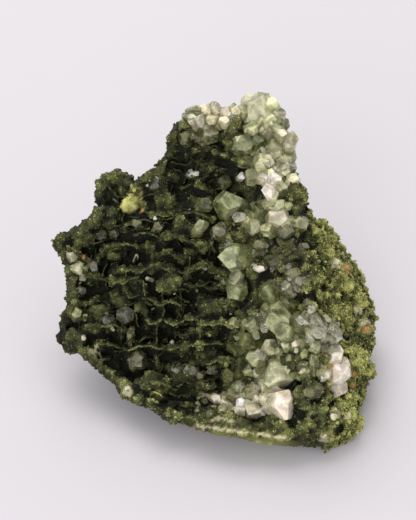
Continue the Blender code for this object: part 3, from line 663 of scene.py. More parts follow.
def asTriangles(faces):
    # two triangles for each face of four corners, less those with a corner twice
    both = np.vstack([faces[:, [0, 1, 2]], faces[:, [0, 2, 3]]])
    whole = (both[:, 0] != both[:, 1]) & (both[:, 1] != both[:, 2]) & (both[:, 0] != both[:, 2])
    return both[whole]


def joinedArrays(parts):
    # several surfaces as one, each one's faces numbered on from the points before it
    points, faces, start = [], [], 0
    for partPoints, partFaces in parts:
        points.append(partPoints)
        faces.append(partFaces + start)
        start += len(partPoints)
    return np.vstack(points), np.vstack(faces)


# The rock's face is hollowed between the ledges, left of the crest, and less where its
# crystals stand
hollows = {
    "deepest": 4.4, "shallow": 2.2, "deepUp": (18, 6), "wander": [(7.0, 0.5, 11)], "proud": 0.6,
    "facing": (-9, -4), "inside": (0.55, 0.95), "ledgeReach": 1.2, "ledgeStep": 0.6,
    "ledgeDroop": 0.15, "crystalReach": 4.5, "crystalFade": (0.5, 1.0), "fillShort": 0.7,
    "fillMost": 6, "fillFacing": (-8, -5), "offRock": 5,
}
crystalFeet = np.array([
    (-2.4, 46.3), (5.3, 23.3), (8.7, 20), (-48, 6.3), (-45.8, 2.2), (-25.3, -28.6), (-12, -32),
    (-7.7, -32), (-18.2, 30.2)])


def nearestTo(places, targets, block=4000):
    # how far each place is from the nearest target, a block of places at a time
    found = np.empty(len(places))
    for start in range(0, len(places), block):
        part = places[start:start + block]
        apart = ((part[:, None, :] - targets[None, :, :]) ** 2).sum(-1)
        found[start:start + block] = np.sqrt(apart.min(1))
    return found


def ledgePlaces():
    # places along all the ledges, a little down the face as their lips are
    return np.vstack([
        smoothRoute(places, hollows["ledgeStep"]) - np.array([0, hollows["ledgeDroop"] * height])
        for height, places in ledges])


def reshaped(points):
    # left of the crest each point sinks to the level less a depth that the ledges and
    # crystals take away; right of it a point in a pit rises to the level
    across, up, out = toFace(points)
    flat = np.stack([across, up], axis=1)
    left = leftOfCrest(across, up)
    level = sampled(groundLevels, across, up)
    faced = smoothStep(*hollows["facing"], out - level)
    faced = faced * smoothStep(*hollows["inside"], sampled(inside, across, up))
    ledgeGap = 1 - np.exp(-(nearestTo(flat, ledgePlaces()) / hollows["ledgeReach"]) ** 2)
    crystalGap = nearestTo(flat, crystalFeet) / hollows["crystalReach"]
    crystalGap = smoothStep(*hollows["crystalFade"], crystalGap)
    deeper = (hollows["deepest"] - hollows["shallow"]) * smoothStep(*hollows["deepUp"], up)
    depth = hollows["shallow"] + deeper
    wander = noiseSum(points, hollows["wander"], 0, 1)
    aim = level + hollows["proud"] - depth * wander * ledgeGap * crystalGap
    drop = np.clip(out - aim, 0, None) * faced * left * crystalGap
    full = sampled(filledLevels, across, up) - hollows["fillShort"]
    rise = np.clip(full - out, 0, hollows["fillMost"]) * faced * (1 - left)
    rise = rise * smoothStep(*hollows["fillFacing"], out - full)
    return points + (rise - drop)[:, None] * outWay


movePoints(rockMesh, reshaped(pointsOf(rockMesh)))
hollowLevels = lookedLevels(rockMesh)
hollowLevels = np.where(np.isfinite(hollowLevels), hollowLevels, groundLevels - hollows["offRock"])
tufts = {
    "seed": 19, "count": 260, "across": (-52, 12), "up": (-48, 50), "inside": 0.9, "left": 0.5,
    "radius": (0.8, 2.1), "stretch": (0.9, 1.8),
}


def tuftRows():
    # small lumps of crust at random on the hollowed face, mostly low and wide
    draw = np.random.default_rng(tufts["seed"])
    rows = []
    while len(rows) < tufts["count"]:
        across, up = draw.uniform(*tufts["across"]), draw.uniform(*tufts["up"])
        onFace = sampled(inside, across, up) > tufts["inside"]
        if onFace and leftOfCrest(across, up) > tufts["left"]:
            rows.append((across, up, draw.uniform(*tufts["radius"]), draw.uniform(*tufts["stretch"])))
    return rows


crustShape = {
    "voxel": 0.72, "wall": 0.6, "lump": 0.85,
    "waves": [(6.0, 0.6, 1), (2.6, 0.4, 2), (1.3, 0.35, 3)],
    "clumps": [(4.4, 0.5, 5), (1.9, 0.6, 6)], "crease": 2.2, "creaseLess": 0.6,
    "floor": (0.0, 1.5), "bandLess": 0.7, "holeDepth": 2.4, "holeFacing": 0.1,
}
extraParts = [wallArrays(wallShape, crustShape["wall"] * height, places, wallShape["seed"] + n)
              for n, (height, places) in enumerate(ledges)]
extraParts += [lumpArrays(across, up, crustShape["lump"] * radius, stretch, groundLevels)
               for across, up, radius, stretch in lumps]
extraParts += [lumpArrays(*row, hollowLevels) for row in tuftRows()]
extraPoints, extraFaces = joinedArrays(extraParts)
rock.data = meshOf("epidote_crust", *joinedArrays([
    (pointsOf(rockMesh), trianglesOf(rockMesh)), (extraPoints, asTriangles(extraFaces))]))
grow = rock.modifiers.new("grow", "REMESH")
grow.mode = "VOXEL"
grow.voxel_size = crustShape["voxel"] * mm
crustMesh = applied(rock)
print("crust grown:", len(crustMesh.vertices), "points")


def edgesOf(mesh):
    # two point numbers for each edge
    pairs = np.empty(len(mesh.edges) * 2, np.int32)
    mesh.edges.foreach_get("vertices", pairs)
    return pairs.reshape(-1, 2)


def relaxed(points, pairs, times):
    # each point moves to the middle of its neighbours, several times
    count = np.bincount(pairs.ravel(), minlength=len(points))[:, None]
    for _ in range(times):
        total = np.zeros_like(points)
        for axis in range(3):
            total[:, axis] = np.bincount(pairs[:, 0], points[pairs[:, 1], axis], len(points))
            total[:, axis] += np.bincount(pairs[:, 1], points[pairs[:, 0], axis], len(points))
        points = total / np.maximum(count, 1)
    return points


# Holes, sunk into the crust and painted dark as shade: their middle (across, up) and radius
holes = [
    ((31.5, -7.3), 2.9), ((36.5, -4.5), 1.4), ((29, -45.5), 3.0), ((26.5, -48), 1.8),
    ((41.5, -50.5), 2.2), ((33.5, -40), 2.4), ((44, -21), 1.4), ((31, 22), 1.8),
    ((10, 34.5), 2.2), ((28, 4), 2.0), ((22, 1), 1.6), ((39, -42), 1.3), ((47, -42), 1.3),
]
holeEdge = {"fade": (1.15, 0.5), "ragged": [(2.2, 0.45, 84), (0.9, 0.3, 85)]}
# Seams of quartz along the bottom rim, and the smooth band under them: the line of its top
seams = [
    [(-6, -49.2), (-1, -49.7), (4, -50.2), (10.7, -50.9)], [(0, -47.2), (3, -46.8), (6.5, -47.6)],
    [(15, -51.6), (19, -52.4), (24, -52.9)],
]
band = {
    "across": [-12, -4, 6, 16, 30], "up": [-48.5, -50.6, -51.6, -52.6, -54.4],
    "fade": (0.3, -0.9), "start": (-11, -5), "end": (31, 22), "ragged": [(2.4, 0.8, 81)],
}


def holeMask(across, up):
    # 1 inside a hole, fading out over its ragged edge
    flat = np.stack([across, up, np.zeros(np.shape(across))], axis=-1)
    ragged = noiseSum(flat, holeEdge["ragged"], 0, 1)
    found = np.zeros(np.shape(across))
    for (a, u), radius in holes:
        away = np.hypot(across - a, up - u) / radius / ragged
        found = np.maximum(found, smoothStep(*holeEdge["fade"], away))
    return found


def bandMask(points):
    # 1 below the line of the band's top, fading at the line and at both ends
    across, up, out = toFace(points)
    top = np.interp(across, band["across"], band["up"])
    ragged = noiseSum(points, band["ragged"])
    below = smoothStep(*band["fade"], up - top + ragged)
    return (below * smoothStep(*band["start"], across + 2 * ragged)
            * smoothStep(*band["end"], across))


# The crust's own lumps: waves, and clumps with creases where their noise crosses nothing
points = pointsOf(crustMesh)
pairs = edgesOf(crustMesh)
normals = normalsOf(crustMesh)
relief = noiseSum(points, crustShape["waves"])
relief += sum(
    height * (crustShape["crease"] * np.abs(valueNoise(points, size, seed)) - crustShape["creaseLess"])
    for size, height, seed in crustShape["clumps"])
footing = smoothStep(*crustShape["floor"], points[:, 2])
footing = footing * (1 - crustShape["bandLess"] * bandMask(points))
inHoles = holeMask(*toFace(points)[:2]) * (normals @ outWay > crustShape["holeFacing"])
points = (points + normals * (relief * footing)[:, None]
          - (crustShape["holeDepth"] * inHoles)[:, None] * outWay)
points[:, 2] = np.maximum(points[:, 2], 0.0)
movePoints(crustMesh, points)
crustMesh.shade_smooth()

# How high the crust is round each place, to tell its pits, which get painted shade
brim = {"off": -40.0, "reach": 3, "blur": 3}
crustLevels = lookedLevels(crustMesh)
crustLevels = np.where(np.isfinite(crustLevels), crustLevels, brim["off"])
brimLevels = blurred(-lowered(-crustLevels, brim["reach"]), brim["blur"])
# Spots of colour: their middle (across, up) and radius
spots = {
    "straw": [
        ((-26.5, 27.0), 2.1), ((-28.3, 23.8), 2.5), ((-24.5, 24.0), 1.4), ((-19, -40), 1.6),
        ((8, -57), 2.0), ((13, -57.6), 2.4), ((19, -58.4), 2.4), ((25, -59), 2.0)],
    "rust": [
        ((44.6, 2.6), 0.8), ((45.3, 0.6), 0.7), ((46, -36.5), 0.9), ((-43.6, 6.2), 0.7),
        ((51, -18), 1.1), ((38.4, -30), 0.9), ((-24, 21.5), 0.5), ((46.4, -32.6), 0.8)],
    "cream": [
        ((41, 3.6), 1.5), ((48.5, -12), 1.3), ((51, -16), 1.3), ((36, -32), 1.8),
        ((40, -45), 1.4), ((36, -53.5), 1.3), ((-39.5, -25), 1.6), ((-28.5, -38.6), 1.4),
        ((31, -38), 1.2), ((44, -46), 1.0)],
}
spotEdge = {"fade": (1.25, 0.85), "radius": 1.15, "ragged": [(1.5, 0.5, 61)], "facing": -0.3}
# How the crust is marked: what makes it light or dark, among it painted shade in pits and
# holes and painted light on the bottom rim, the knob and the flank, and where its flank and seams are
marks = {
    # pit: painted shade, darker where the crust is sunk
    "pit": {"from": 1.0, "most": 6, "facing": -0.4, "darker": 0.07},
    "patches": [(5.0, 0.12, 71), (2.0, 0.1, 72)],
    # rim: painted light, lighter along the bottom rim
    "rim": {"up": (-40, -47), "slant": 0.12, "lighter": 0.16},
    # knob: painted light, lighter round the knob on the left shoulder
    "knob": {"middle": (-33.5, 31), "fade": (9, 5), "lighter": 0.15},
    # flank: painted lighter for the light on that side, and darker towards its foot
    "flank": {"across": (27, 37), "slant": 0.12, "ragged": [(6.0, 3, 73)], "outShare": 0.7,
              "facing": (-0.95, -0.2), "lighter": 0.07, "low": (-30, -42), "lowDarker": 0.15},
    "seam": {"step": 0.3, "fade": (0.62, 0.15), "ragged": [(1.1, 0.6, 82)]},
    # holeDarker: painted shade in the holes
    "ridge": {"level": 0.42, "proud": 0.26, "holeDarker": 0.4},
}


def spotMask(key, points, normals):
    # 1 inside a spot, fading out over its ragged edge
    across, up, out = toFace(points)
    ragged = noiseSum(points, spotEdge["ragged"], 0, spotEdge["radius"])
    found = np.zeros(len(points))
    for (a, u), radius in spots[key]:
        near = smoothStep(*spotEdge["fade"], np.hypot(across - a, up - u) / (radius * ragged))
        found = np.maximum(found, near * (normals @ outWay > spotEdge["facing"]))
    return found


def seamMask(points, across, up):
    # 1 on a seam's line, fading out over its ragged edge
    seam = marks["seam"]
    found = np.zeros(len(points))
    for places in seams:
        apart = nearestTo(np.stack([across, up], axis=1), smoothRoute(places, seam["step"]))
        apart = apart + noiseSum(points, seam["ragged"])
        found = np.maximum(found, smoothStep(*seam["fade"], apart))
    return found


def crustMasks(points, normals, proud):
    # proud is how far a place stands out from the crust round it, in millimetres. The ridge
    # mask is a sum of it, which is partly the crust's pale tips and partly painted light on lit
    # ridges, of random patches of tone, and of all that makes the crust lighter or darker:
    # painted shade in pits and holes, and painted light on the bottom rim, the knob and the flank
    across, up, out = toFace(points)
    pit, rim, knob, flank, ridge = (marks[key] for key in ("pit", "rim", "knob", "flank", "ridge"))
    # painted shade: darker where the crust is sunk below the brim round it
    sunk = np.clip(sampled(brimLevels, across, up) - out - pit["from"], 0, pit["most"])
    sunk = sunk * (normals @ outWay > pit["facing"])
    patches = noiseSum(points, marks["patches"])
    # painted light: lighter along the bottom rim and round the knob
    low = smoothStep(*rim["up"], up - rim["slant"] * across) * rim["lighter"]
    fromKnob = np.hypot(across - knob["middle"][0], up - knob["middle"][1])
    low = low + smoothStep(*knob["fade"], fromKnob) * knob["lighter"]
    # the flank, painted lighter for the light on that side, and darker towards its foot
    onFlank = across + flank["slant"] * up + noiseSum(points, flank["ragged"])
    onFlank = smoothStep(*flank["across"], onFlank)
    turned = normals @ acrossWay + flank["outShare"] * (normals @ outWay)
    onFlank = onFlank * smoothStep(*flank["facing"], turned)
    lighter = flank["lighter"] - flank["lowDarker"] * smoothStep(*flank["low"], up)
    # the holes are painted darker as shade
    return {
        "ridge": np.clip(
            ridge["level"] + ridge["proud"] * proud - pit["darker"] * sunk * (1 - onFlank) + patches
            + low + onFlank * lighter - ridge["holeDarker"] * holeMask(across, up), 0, 1),
        "flank": onFlank,
        "straw": spotMask("straw", points, normals),
        "cream": np.maximum(spotMask("cream", points, normals), seamMask(points, across, up)),
        "rust": spotMask("rust", points, normals),
        "band": bandMask(points),
    }


normals = normalsOf(crustMesh)
proud = ((points - relaxed(points, pairs, 14)) * normals).sum(1)
masks = crustMasks(points, normals, proud)
setValues(crustMesh, masks)
masks["short"] = np.zeros(len(points))
crustMesh.materials.clear()
crustMesh.materials.append(crustMaterial)
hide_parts("epidote_matrix")
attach(rock, "root")
print("crust finished")

# What grows on a surface keeps to the side that is named, and is thin on the band and
# close to the floor
sides = {
    "front": (-0.35, 0.1), "floor": (0.3, 1.0), "bandLess": 0.85, "flankLess": 0.85,
    "flankFacing": (-0.75, -0.2), "acrossShare": 0.5, "flankLeast": 0.05,
}


def gathered(points, triangles, masks):
    # what a scatter needs to know of a surface: its corners, facing, areas and masks
    corners = points[triangles]
    across = np.cross(corners[:, 1] - corners[:, 0], corners[:, 2] - corners[:, 0])
    size = np.linalg.norm(across, axis=1)
    return {"corners": corners, "facing": across / np.maximum(size, 1e-9)[:, None],
            "area": size / 2, "masks": {key: values[triangles] for key, values in masks.items()}}


def together(surfaces):
    # several surfaces as one, their rows one after another
    whole = {key: np.concatenate([s[key] for s in surfaces]) for key in ("corners", "facing", "area")}
    whole["masks"] = {key: np.concatenate([s["masks"][key] for s in surfaces])
                      for key in surfaces[0]["masks"]}
    return whole


def sideWeight(surface, side):
    # from 0 to about 1: how much of what grows on the named side each triangle takes
    flank = surface["masks"]["flank"].mean(1)
    front = smoothStep(*sides["front"], surface["facing"] @ outWay)
    low = smoothStep(*sides["floor"], surface["corners"][:, :, 2].min(1))
    low = low * (1 - sides["bandLess"] * surface["masks"]["band"].mean(1))
    if side == "face":
        return low * front * (1 - sides["flankLess"] * flank)
    if side == "flank":
        facing = surface["facing"] @ (outWay + sides["acrossShare"] * acrossWay)
        return low * smoothStep(*sides["flankFacing"], facing) * (sides["flankLeast"] + flank)
    return low * (1 - front)


def scattered(surface, count, side, draw, ridgeShare):
    # random places on a surface, more of them where its ridge mask, with its painted light, is
    # high: a triangle drawn by its area and weight, then a random mean of its corners
    ridge = np.clip(surface["masks"]["ridge"].mean(1), 0, 1)
    weight = surface["area"] * sideWeight(surface, side) * (1 - ridgeShare + 2 * ridgeShare * ridge)
    chosen = draw.choice(len(weight), count, p=weight / weight.sum())
    share = draw.dirichlet((1, 1, 1), count)
    places = (surface["corners"][chosen] * share[:, :, None]).sum(1)
    here = {key: (values[chosen] * share).sum(1) for key, values in surface["masks"].items()}
    return places, surface["facing"][chosen], here


# Ledges' free edges: the same walls again, thinner and with ragged lips, and small walls
# at random between them, most of them along the others
crustSurface = gathered(points, trianglesOf(crustMesh), masks)
lipShape = {**wallShape, "step": 0.32, "foot": 0.9, "lip": 0.42}
septaShape = {**lipShape, "girth": 0.8, "seed": 80}
septa = {
    "seed": 23, "count": 120, "across": (-50, 10), "up": (-46, 48), "inside": 0.95, "left": 0.5,
    "alongShare": 0.62, "along": (0.05, 0.3), "against": (1.5, 0.35), "length": (2.5, 8),
    "bow": 0.12, "height": (1.6, 4.4),
}


def septaRows():
    # a random place and turn, and a route of three places through it, bowed in the middle
    draw = np.random.default_rng(septa["seed"])
    rows = []
    while len(rows) < septa["count"]:
        across, up = draw.uniform(*septa["across"]), draw.uniform(*septa["up"])
        offFace = sampled(inside, across, up) < septa["inside"]
        if offFace or leftOfCrest(across, up) < septa["left"]:
            continue
        turn = draw.normal(*septa["along" if draw.uniform() < septa["alongShare"] else "against"])
        long = draw.uniform(*septa["length"])
        way = np.array([np.cos(turn), np.sin(turn)])
        bow = draw.normal(0, septa["bow"]) * long * np.array([-way[1], way[0]])
        middle = np.array([across, up])
        places = [middle - way * long / 2, middle + bow, middle + way * long / 2]
        rows.append((draw.uniform(*septa["height"]), places))
    return rows


lipLook = {
    "proud": 0.28, "proudLess": 0.5, "ragged": [(0.7, 0.9, 95)], "short": 0.5, "moss": 1.6,
    "mossFrom": 1.5,
}
lipParts = [wallArrays(lipShape, height, places, lipShape["seed"] + n)
            for n, (height, places) in enumerate(ledges)]
lipParts += [wallArrays(septaShape, height, places, septaShape["seed"] + n)
             for n, (height, places) in enumerate(septaRows())]
lipPoints, lipFaces = joinedArrays(lipParts)
lipPoints[:, 2] = np.maximum(lipPoints[:, 2], 0.0)
lipTriangles = asTriangles(lipFaces)
lipMesh = meshOf("epidote_ledges", lipPoints, lipTriangles)
lipAcross, lipUp, lipOut = toFace(lipPoints)
lipRise = lipOut - sampled(groundLevels, lipAcross, lipUp)
# painted light: a lip is lighter the higher it rises above the face, as a lit ledge top
lipProud = lipLook["proud"] * lipRise - lipLook["proudLess"] + noiseSum(lipPoints, lipLook["ragged"])
lipMasks = crustMasks(lipPoints, normalsOf(lipMesh), lipProud)
setValues(lipMesh, lipMasks)
lipMasks["short"] = np.full(len(lipPoints), lipLook["short"])
lips = addPiece("epidote_ledges", lipMesh, crustMaterial)
lipMesh.shade_smooth()
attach(lips, "root")
lipSurface = gathered(lipPoints, lipTriangles, lipMasks)
lipSurface["area"] *= lipLook["moss"] * (lipRise[lipTriangles].mean(1) > lipLook["mossFrom"])
print("ledge lips:", len(lipTriangles), "faces")

# Granules of crust: small uneven balls of twenty faces, partly sunk. Each side's rows are
# how many, radius from and to
golden = (1 + 5 ** 0.5) / 2
ballPoints = unit(np.array([
    (-1, golden, 0), (1, golden, 0), (-1, -golden, 0), (1, -golden, 0), (0, -1, golden),
    (0, 1, golden), (0, -1, -golden), (0, 1, -golden), (golden, 0, -1), (golden, 0, 1),
    (-golden, 0, -1), (-golden, 0, 1)]))
ballFaces = np.array([
    (0, 11, 5), (0, 5, 1), (0, 1, 7), (0, 7, 10), (0, 10, 11), (1, 5, 9), (5, 11, 4),
    (11, 10, 2), (10, 7, 6), (7, 1, 8), (3, 9, 4), (3, 4, 2), (3, 2, 6), (3, 6, 8), (3, 8, 9),
    (4, 9, 5), (2, 4, 11), (6, 2, 10), (8, 6, 7), (9, 8, 1)])
granules = {
    "seed": 41, "ridgeShare": 0.6, "least": 0.6, "ridgeGrowth": 0.6, "proud": 0.25,
    "uneven": (0.72, 1.2), "stretch": (0.45, 1.45), "shade": (0.04, 0.16),
    "sides": {
        "face": [(3300, 0.25, 0.6)],
        "flank": [(3000, 0.3, 0.8), (350, 0.7, 1.3)],
        "back": [(2900, 0.4, 0.9)],
    },
}


def granuleArrays():
    # the ball's points, each pulled in or out and stretched along its axes, round places
    # on the crust
    draw = np.random.default_rng(granules["seed"])
    corners = len(ballPoints)
    made, allMasks = [], []
    for side, rows in granules["sides"].items():
        for count, small, large in rows:
            places, facing, here = scattered(crustSurface, count, side, draw, granules["ridgeShare"])
            size = draw.uniform(small, large, count)
            size = size * (granules["least"] + granules["ridgeGrowth"] * here["ridge"])
            uneven = draw.uniform(*granules["uneven"], (count, corners, 1))
            uneven = uneven * draw.uniform(*granules["stretch"], (count, 1, 3))
            made.append(places[:, None] + facing[:, None] * (granules["proud"] * size)[:, None, None]
                        + ballPoints[None] * uneven * size[:, None, None])
            here["ridge"] = here["ridge"] + draw.normal(*granules["shade"], count)
            allMasks.append({key: np.repeat(values, corners) for key, values in here.items()})
    balls = np.concatenate(made)
    balls[..., 2] = np.maximum(balls[..., 2], 0.0)
    faces = ballFaces[None] + corners * np.arange(len(balls))[:, None, None]
    masks = {key: np.concatenate([m[key] for m in allMasks]) for key in allMasks[0]}
    return balls.reshape(-1, 3), faces.reshape(-1, 3), masks


granulePoints, granuleFaces, granuleMasks = granuleArrays()
granuleMesh = meshOf("epidote_granules", granulePoints, granuleFaces,
                     {key: values for key, values in granuleMasks.items() if key != "short"})
granulePiece = addPiece("epidote_granules", granuleMesh, crustMaterial)
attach(granulePiece, "root")
print("granules:", len(granuleFaces), "faces")

# Quartz crystals, in groups that stand for the solids' groups. Each row gives a crystal's
# middle (across, up), its direction (across, up, out), radius, length, lift and tone
quartzTones = {  # colour, and how milky
    "leaf": ((0.8, 0.8, 0.44), 0.68), "green": ((0.56, 0.59, 0.29), 0.58),
    "olive": ((0.25, 0.27, 0.1), 0.5), "cream": ((0.98, 0.91, 0.62), 0.66),
    "white": ((0.92, 0.82, 0.7), 0.95), "grey": ((0.44, 0.42, 0.25), 0.5),
    "rosy": ((1.0, 0.89, 0.8), 0.9), "clear": ((0.8, 0.78, 0.6), 0.4),
    "smoke": ((0.1, 0.09, 0.045), 0.6), "dim": ((0.17, 0.165, 0.14), 0.66),
    "bright": ((1.0, 1.0, 0.66), 0.8), "moss": ((0.42, 0.46, 0.2), 0.56),
    "spark": ((1.0, 0.98, 0.95), 1.0),
}
quartzGroups = {
    "quartz_summit": ("pale_quartz", [
        (15, 54.3, (0.1, 0.5, 0.9), 5.2, 8.5, 0.0, "leaf"),
        (12.3, 57.3, (-0.1, 1.0, 0.3), 2.9, 7.0, -0.5, "cream"),
        (19, 55.7, (0.6, 0.6, 0.7), 3.2, 5.5, 0.0, "leaf"),
        (22, 53.3, (0.9, 0.2, 0.6), 2.6, 5.0, 0.0, "clear"),
        (19.7, 49, (0.4, -0.3, 1.0), 3.6, 5.4, 0.4, "green"),
        (13, 48.3, (-0.3, -0.4, 1.0), 3.4, 5.4, 0.4, "green"),
        (10, 53.8, (-0.5, 0.6, 0.8), 2.6, 5.0, 0.0, "cream"),
        (16.3, 51, (0.0, 0.1, 1.0), 3.0, 5.4, 1.0, "leaf"),
    ]),
    "quartz_summit_druse": ("milky_quartz", [
        (-2.3, 54.6, (-0.2, 0.8, 0.6), 2.3, 5.0, 0.0, "cream"),
        (1, 54.6, (0.1, 0.9, 0.5), 2.1, 5.0, 0.0, "cream"),
        (4.3, 53.4, (0.2, 0.6, 0.8), 2.3, 4.6, 0.0, "cream"),
        (7.3, 53.8, (0.2, 0.8, 0.7), 2.0, 4.4, 0.0, "cream"),
        (-6.6, 51.7, (-0.5, 0.7, 0.7), 2.0, 4.2, 0.0, "cream"),
        (-4.3, 51, (-0.3, 0.1, 1.0), 2.4, 4.4, 0.6, "clear"),
        (-0.3, 51.3, (0.3, 0.2, 1.0), 2.3, 4.4, 0.6, "cream"),
        (3.7, 50.6, (0.0, -0.2, 1.0), 2.3, 4.4, 0.6, "cream"),
        (-9.2, 50.2, (-0.6, 0.6, 0.6), 1.9, 4.0, 0.0, "grey"),
    ]),
    "quartz_facet_upper": ("green_quartz", [
        (-2.3, 46.6, (-0.2, -0.1, 1.0), 3.8, 4.6, 0.6, "grey"),
    ]),
    "quartz_crest_top": ("pale_quartz", [
        (25, 43, (0.3, 0.8, 0.6), 2.9, 8.5, 0.0, "cream"),
        (24.3, 35.7, (0.3, 0.1, 1.0), 4.2, 5.4, 0.5, "clear"),
        (20.7, 30.9, (0.1, -0.4, 1.0), 3.8, 5.0, 0.4, "rosy"),
        (19.5, 27.4, (0.0, -0.4, 0.9), 1.8, 3.4, 0.4, "leaf"),
        (19.7, 42.3, (-0.2, 0.2, 1.0), 3.4, 5.4, 0.6, "green"),
        (16.7, 36.7, (-0.3, 0.8, 0.6), 2.7, 8.0, 0.6, "leaf"),
        (26.3, 31.7, (0.6, 0.0, 0.8), 2.4, 4.4, 0.0, "cream"),
    ]),
    "quartz_crest_inner": ("green_quartz", [
        (9.3, 42.7, (-0.35, -0.3, 1.0), 4.0, 5.8, 0.4, "green"),
        (14.2, 44, (0.1, -0.2, 1.0), 2.6, 4.6, 0.4, "olive"),
    ]),
    "quartz_small_green": ("green_quartz", [
        (13.7, 32.7, (-0.5, -0.3, 0.9), 3.2, 6.0, 0.4, "leaf"),
    ]),
    "quartz_upper_single": ("green_quartz", [
        (5.3, 23.3, (-0.5, 0.15, 0.85), 5.2, 9.0, 1.5, "moss"),
        (8.7, 19.6, (0.4, -0.4, 0.8), 3.2, 6.0, 1.0, "grey"),
    ]),
    "quartz_crest_middle": ("pale_quartz", [
        (22, 19.7, (0.2, 0.3, 1.0), 3.6, 5.4, 2.2, "white"),
        (16, 20.7, (-0.4, 0.2, 1.0), 4.0, 5.0, 1.4, "olive"),
        (18.7, 15, (-0.1, -0.2, 1.0), 3.2, 4.8, 1.8, "green"),
        (24, 14.3, (0.3, -0.1, 1.0), 2.6, 4.8, 1.6, "grey"),
        (17.6, 23.4, (-0.6, 0.5, 0.7), 1.9, 4.4, 1.6, "clear"),
        (22, 23, (0.4, 0.6, 0.7), 2.1, 4.0, 1.4, "leaf"),
    ]),
    "quartz_middle_single": ("green_quartz", [
        (7.0, 5.3, (-0.85, 0.06, 0.55), 4.3, 10.5, 2.6, "moss"),
        (7.7, -0.9, (-0.15, -0.5, 0.9), 3.1, 5.4, 1.6, "grey"),
        (8.0, -5.8, (0.0, -0.6, 0.8), 3.3, 6.0, 1.8, "moss"),
    ]),
    "quartz_crest_knot": ("green_quartz", [
        (22.3, -14.3, (-0.55, 0.2, 0.85), 5.4, 8.5, 3.6, "green"),
        (19, -5, (-0.3, 0.3, 1.0), 4.0, 5.4, 1.4, "green"),
        (25.3, -3.7, (0.1, 0.35, 1.0), 3.4, 5.0, 1.4, "clear"),
        (25, -19.6, (-0.1, -0.4, 1.0), 5.0, 5.6, 2.6, "green"),
        (30, -15.9, (0.25, -0.1, 1.0), 3.8, 5.4, 2.4, "grey"),
    ]),
    "quartz_clear_blades": ("pale_quartz", [
        (33.7, -16.7, (0.5, -0.8, 0.4), 2.5, 10.0, 2.8, "clear"),
        (38.3, -19, (0.4, -0.6, 0.8), 3.2, 7.0, 2.4, "clear"),
        (38.4, -24, (0.3, -0.2, 1.0), 3.2, 5.0, 1.6, "grey"),
    ]),
    "quartz_rosy_block": ("milky_quartz", [
        (40.6, -31.6, (0.3, -0.1, 1.0), 5.4, 5.4, 3.2, "rosy"),
        (39, -25.9, (0.0, 0.6, 0.8), 3.4, 5.4, 1.4, "rosy"),
        (41, -37, (0.3, -0.5, 0.9), 3.4, 5.4, 1.2, "rosy"),
    ]),
    "quartz_green_pair": ("pale_quartz", [
        (21, -32.3, (0.15, -0.35, 0.95), 4.6, 8.0, 3.0, "bright"),
        (15.7, -29, (-0.15, 0.85, 0.5), 2.8, 9.0, 1.6, "olive"),
        (19.2, -24.3, (-0.2, 0.2, 1.0), 3.0, 5.0, 0.8, "cream"),
        (17.9, -36.5, (-0.4, -0.5, 0.8), 3.0, 5.4, 1.0, "leaf"),
    ]),
    "quartz_white_tip": ("milky_quartz", [
        (22.5, -42.3, (0.42, 0.16, 0.89), 4.9, 7.0, 3.4, "white"),
        (18, -41.3, (-0.2, 0.1, 1.0), 2.8, 5.4, 2.2, "cream"),
    ]),
    "quartz_cream_group": ("milky_quartz", [
        (12.7, -45, (-0.2, -0.3, 1.0), 3.9, 5.0, 1.6, "cream"),
        (12, -39.2, (0.5, 0.6, 0.7), 2.8, 7.0, 0.8, "green"),
        (6.6, -39.7, (-0.4, 0.1, 1.0), 3.2, 4.6, 0.6, "grey"),
        (9.3, -42.7, (-0.2, 0.2, 1.0), 1.9, 4.4, 1.4, "spark"),
    ]),
    "quartz_dim_block": ("green_quartz", [
        (11.7, -22, (-0.15, -0.1, 1.0), 4.8, 5.4, 0.4, "olive"),
    ]),
    "quartz_left_pair": ("pale_quartz", [
        (-47.2, 6.1, (-0.3, 0.3, 1.0), 2.6, 4.2, 0.0, "cream"),
        (-45.8, 2.2, (0.1, -0.2, 1.0), 2.8, 4.4, 0.0, "cream"),
        (-44.4, -0.7, (0.2, -0.2, 1.0), 1.6, 3.4, 0.0, "cream"),
    ]),
    "quartz_pale_stud": ("pale_quartz", [
        (-25.3, -28.6, (0.2, -0.35, 0.9), 3.5, 5.6, 0.5, "grey"),
    ]),
    "quartz_sparkle_group": ("pale_quartz", [
        (-12, -31.8, (-0.35, 0.1, 1.0), 2.6, 4.6, 0.5, "clear"),
        (-7.7, -32, (0.3, -0.1, 1.0), 2.4, 4.6, 0.5, "clear"),
        (-4.2, -33.8, (0.3, 0.3, 0.9), 1.8, 4.4, 0.8, "grey"),
    ]),
    "quartz_grey_lens": ("green_quartz", [
        (-18.2, 30.2, (0.1, -0.35, 1.0), 3.4, 4.0, 0.2, "dim"),
    ]),
}
crystalShape = {
    "root": 1.0, "rootGrowth": 0.9, "swell": 1.08, "foot": 0.5, "side": (0.66, 1.06),
    "steep": 50.0, "steepVary": (-5, 5), "slopes": (0.86, 1.16), "slopeVary": (0.86, 1.12),
    "bevel": 0.09, "bevelAngle": np.radians(15), "broad": 1.5, "broadest": 20,
    "tintVary": (0.66, 1.1), "milkVary": (-0.08, 0.08), "facetVary": (1.1, 1.1),
}
crystalMoss = {"short": 0.35, "along": (3.0, 0.0), "ragged": [(2.6, 1.6, 91)], "share": 0.85}
crystalSurfaces = []


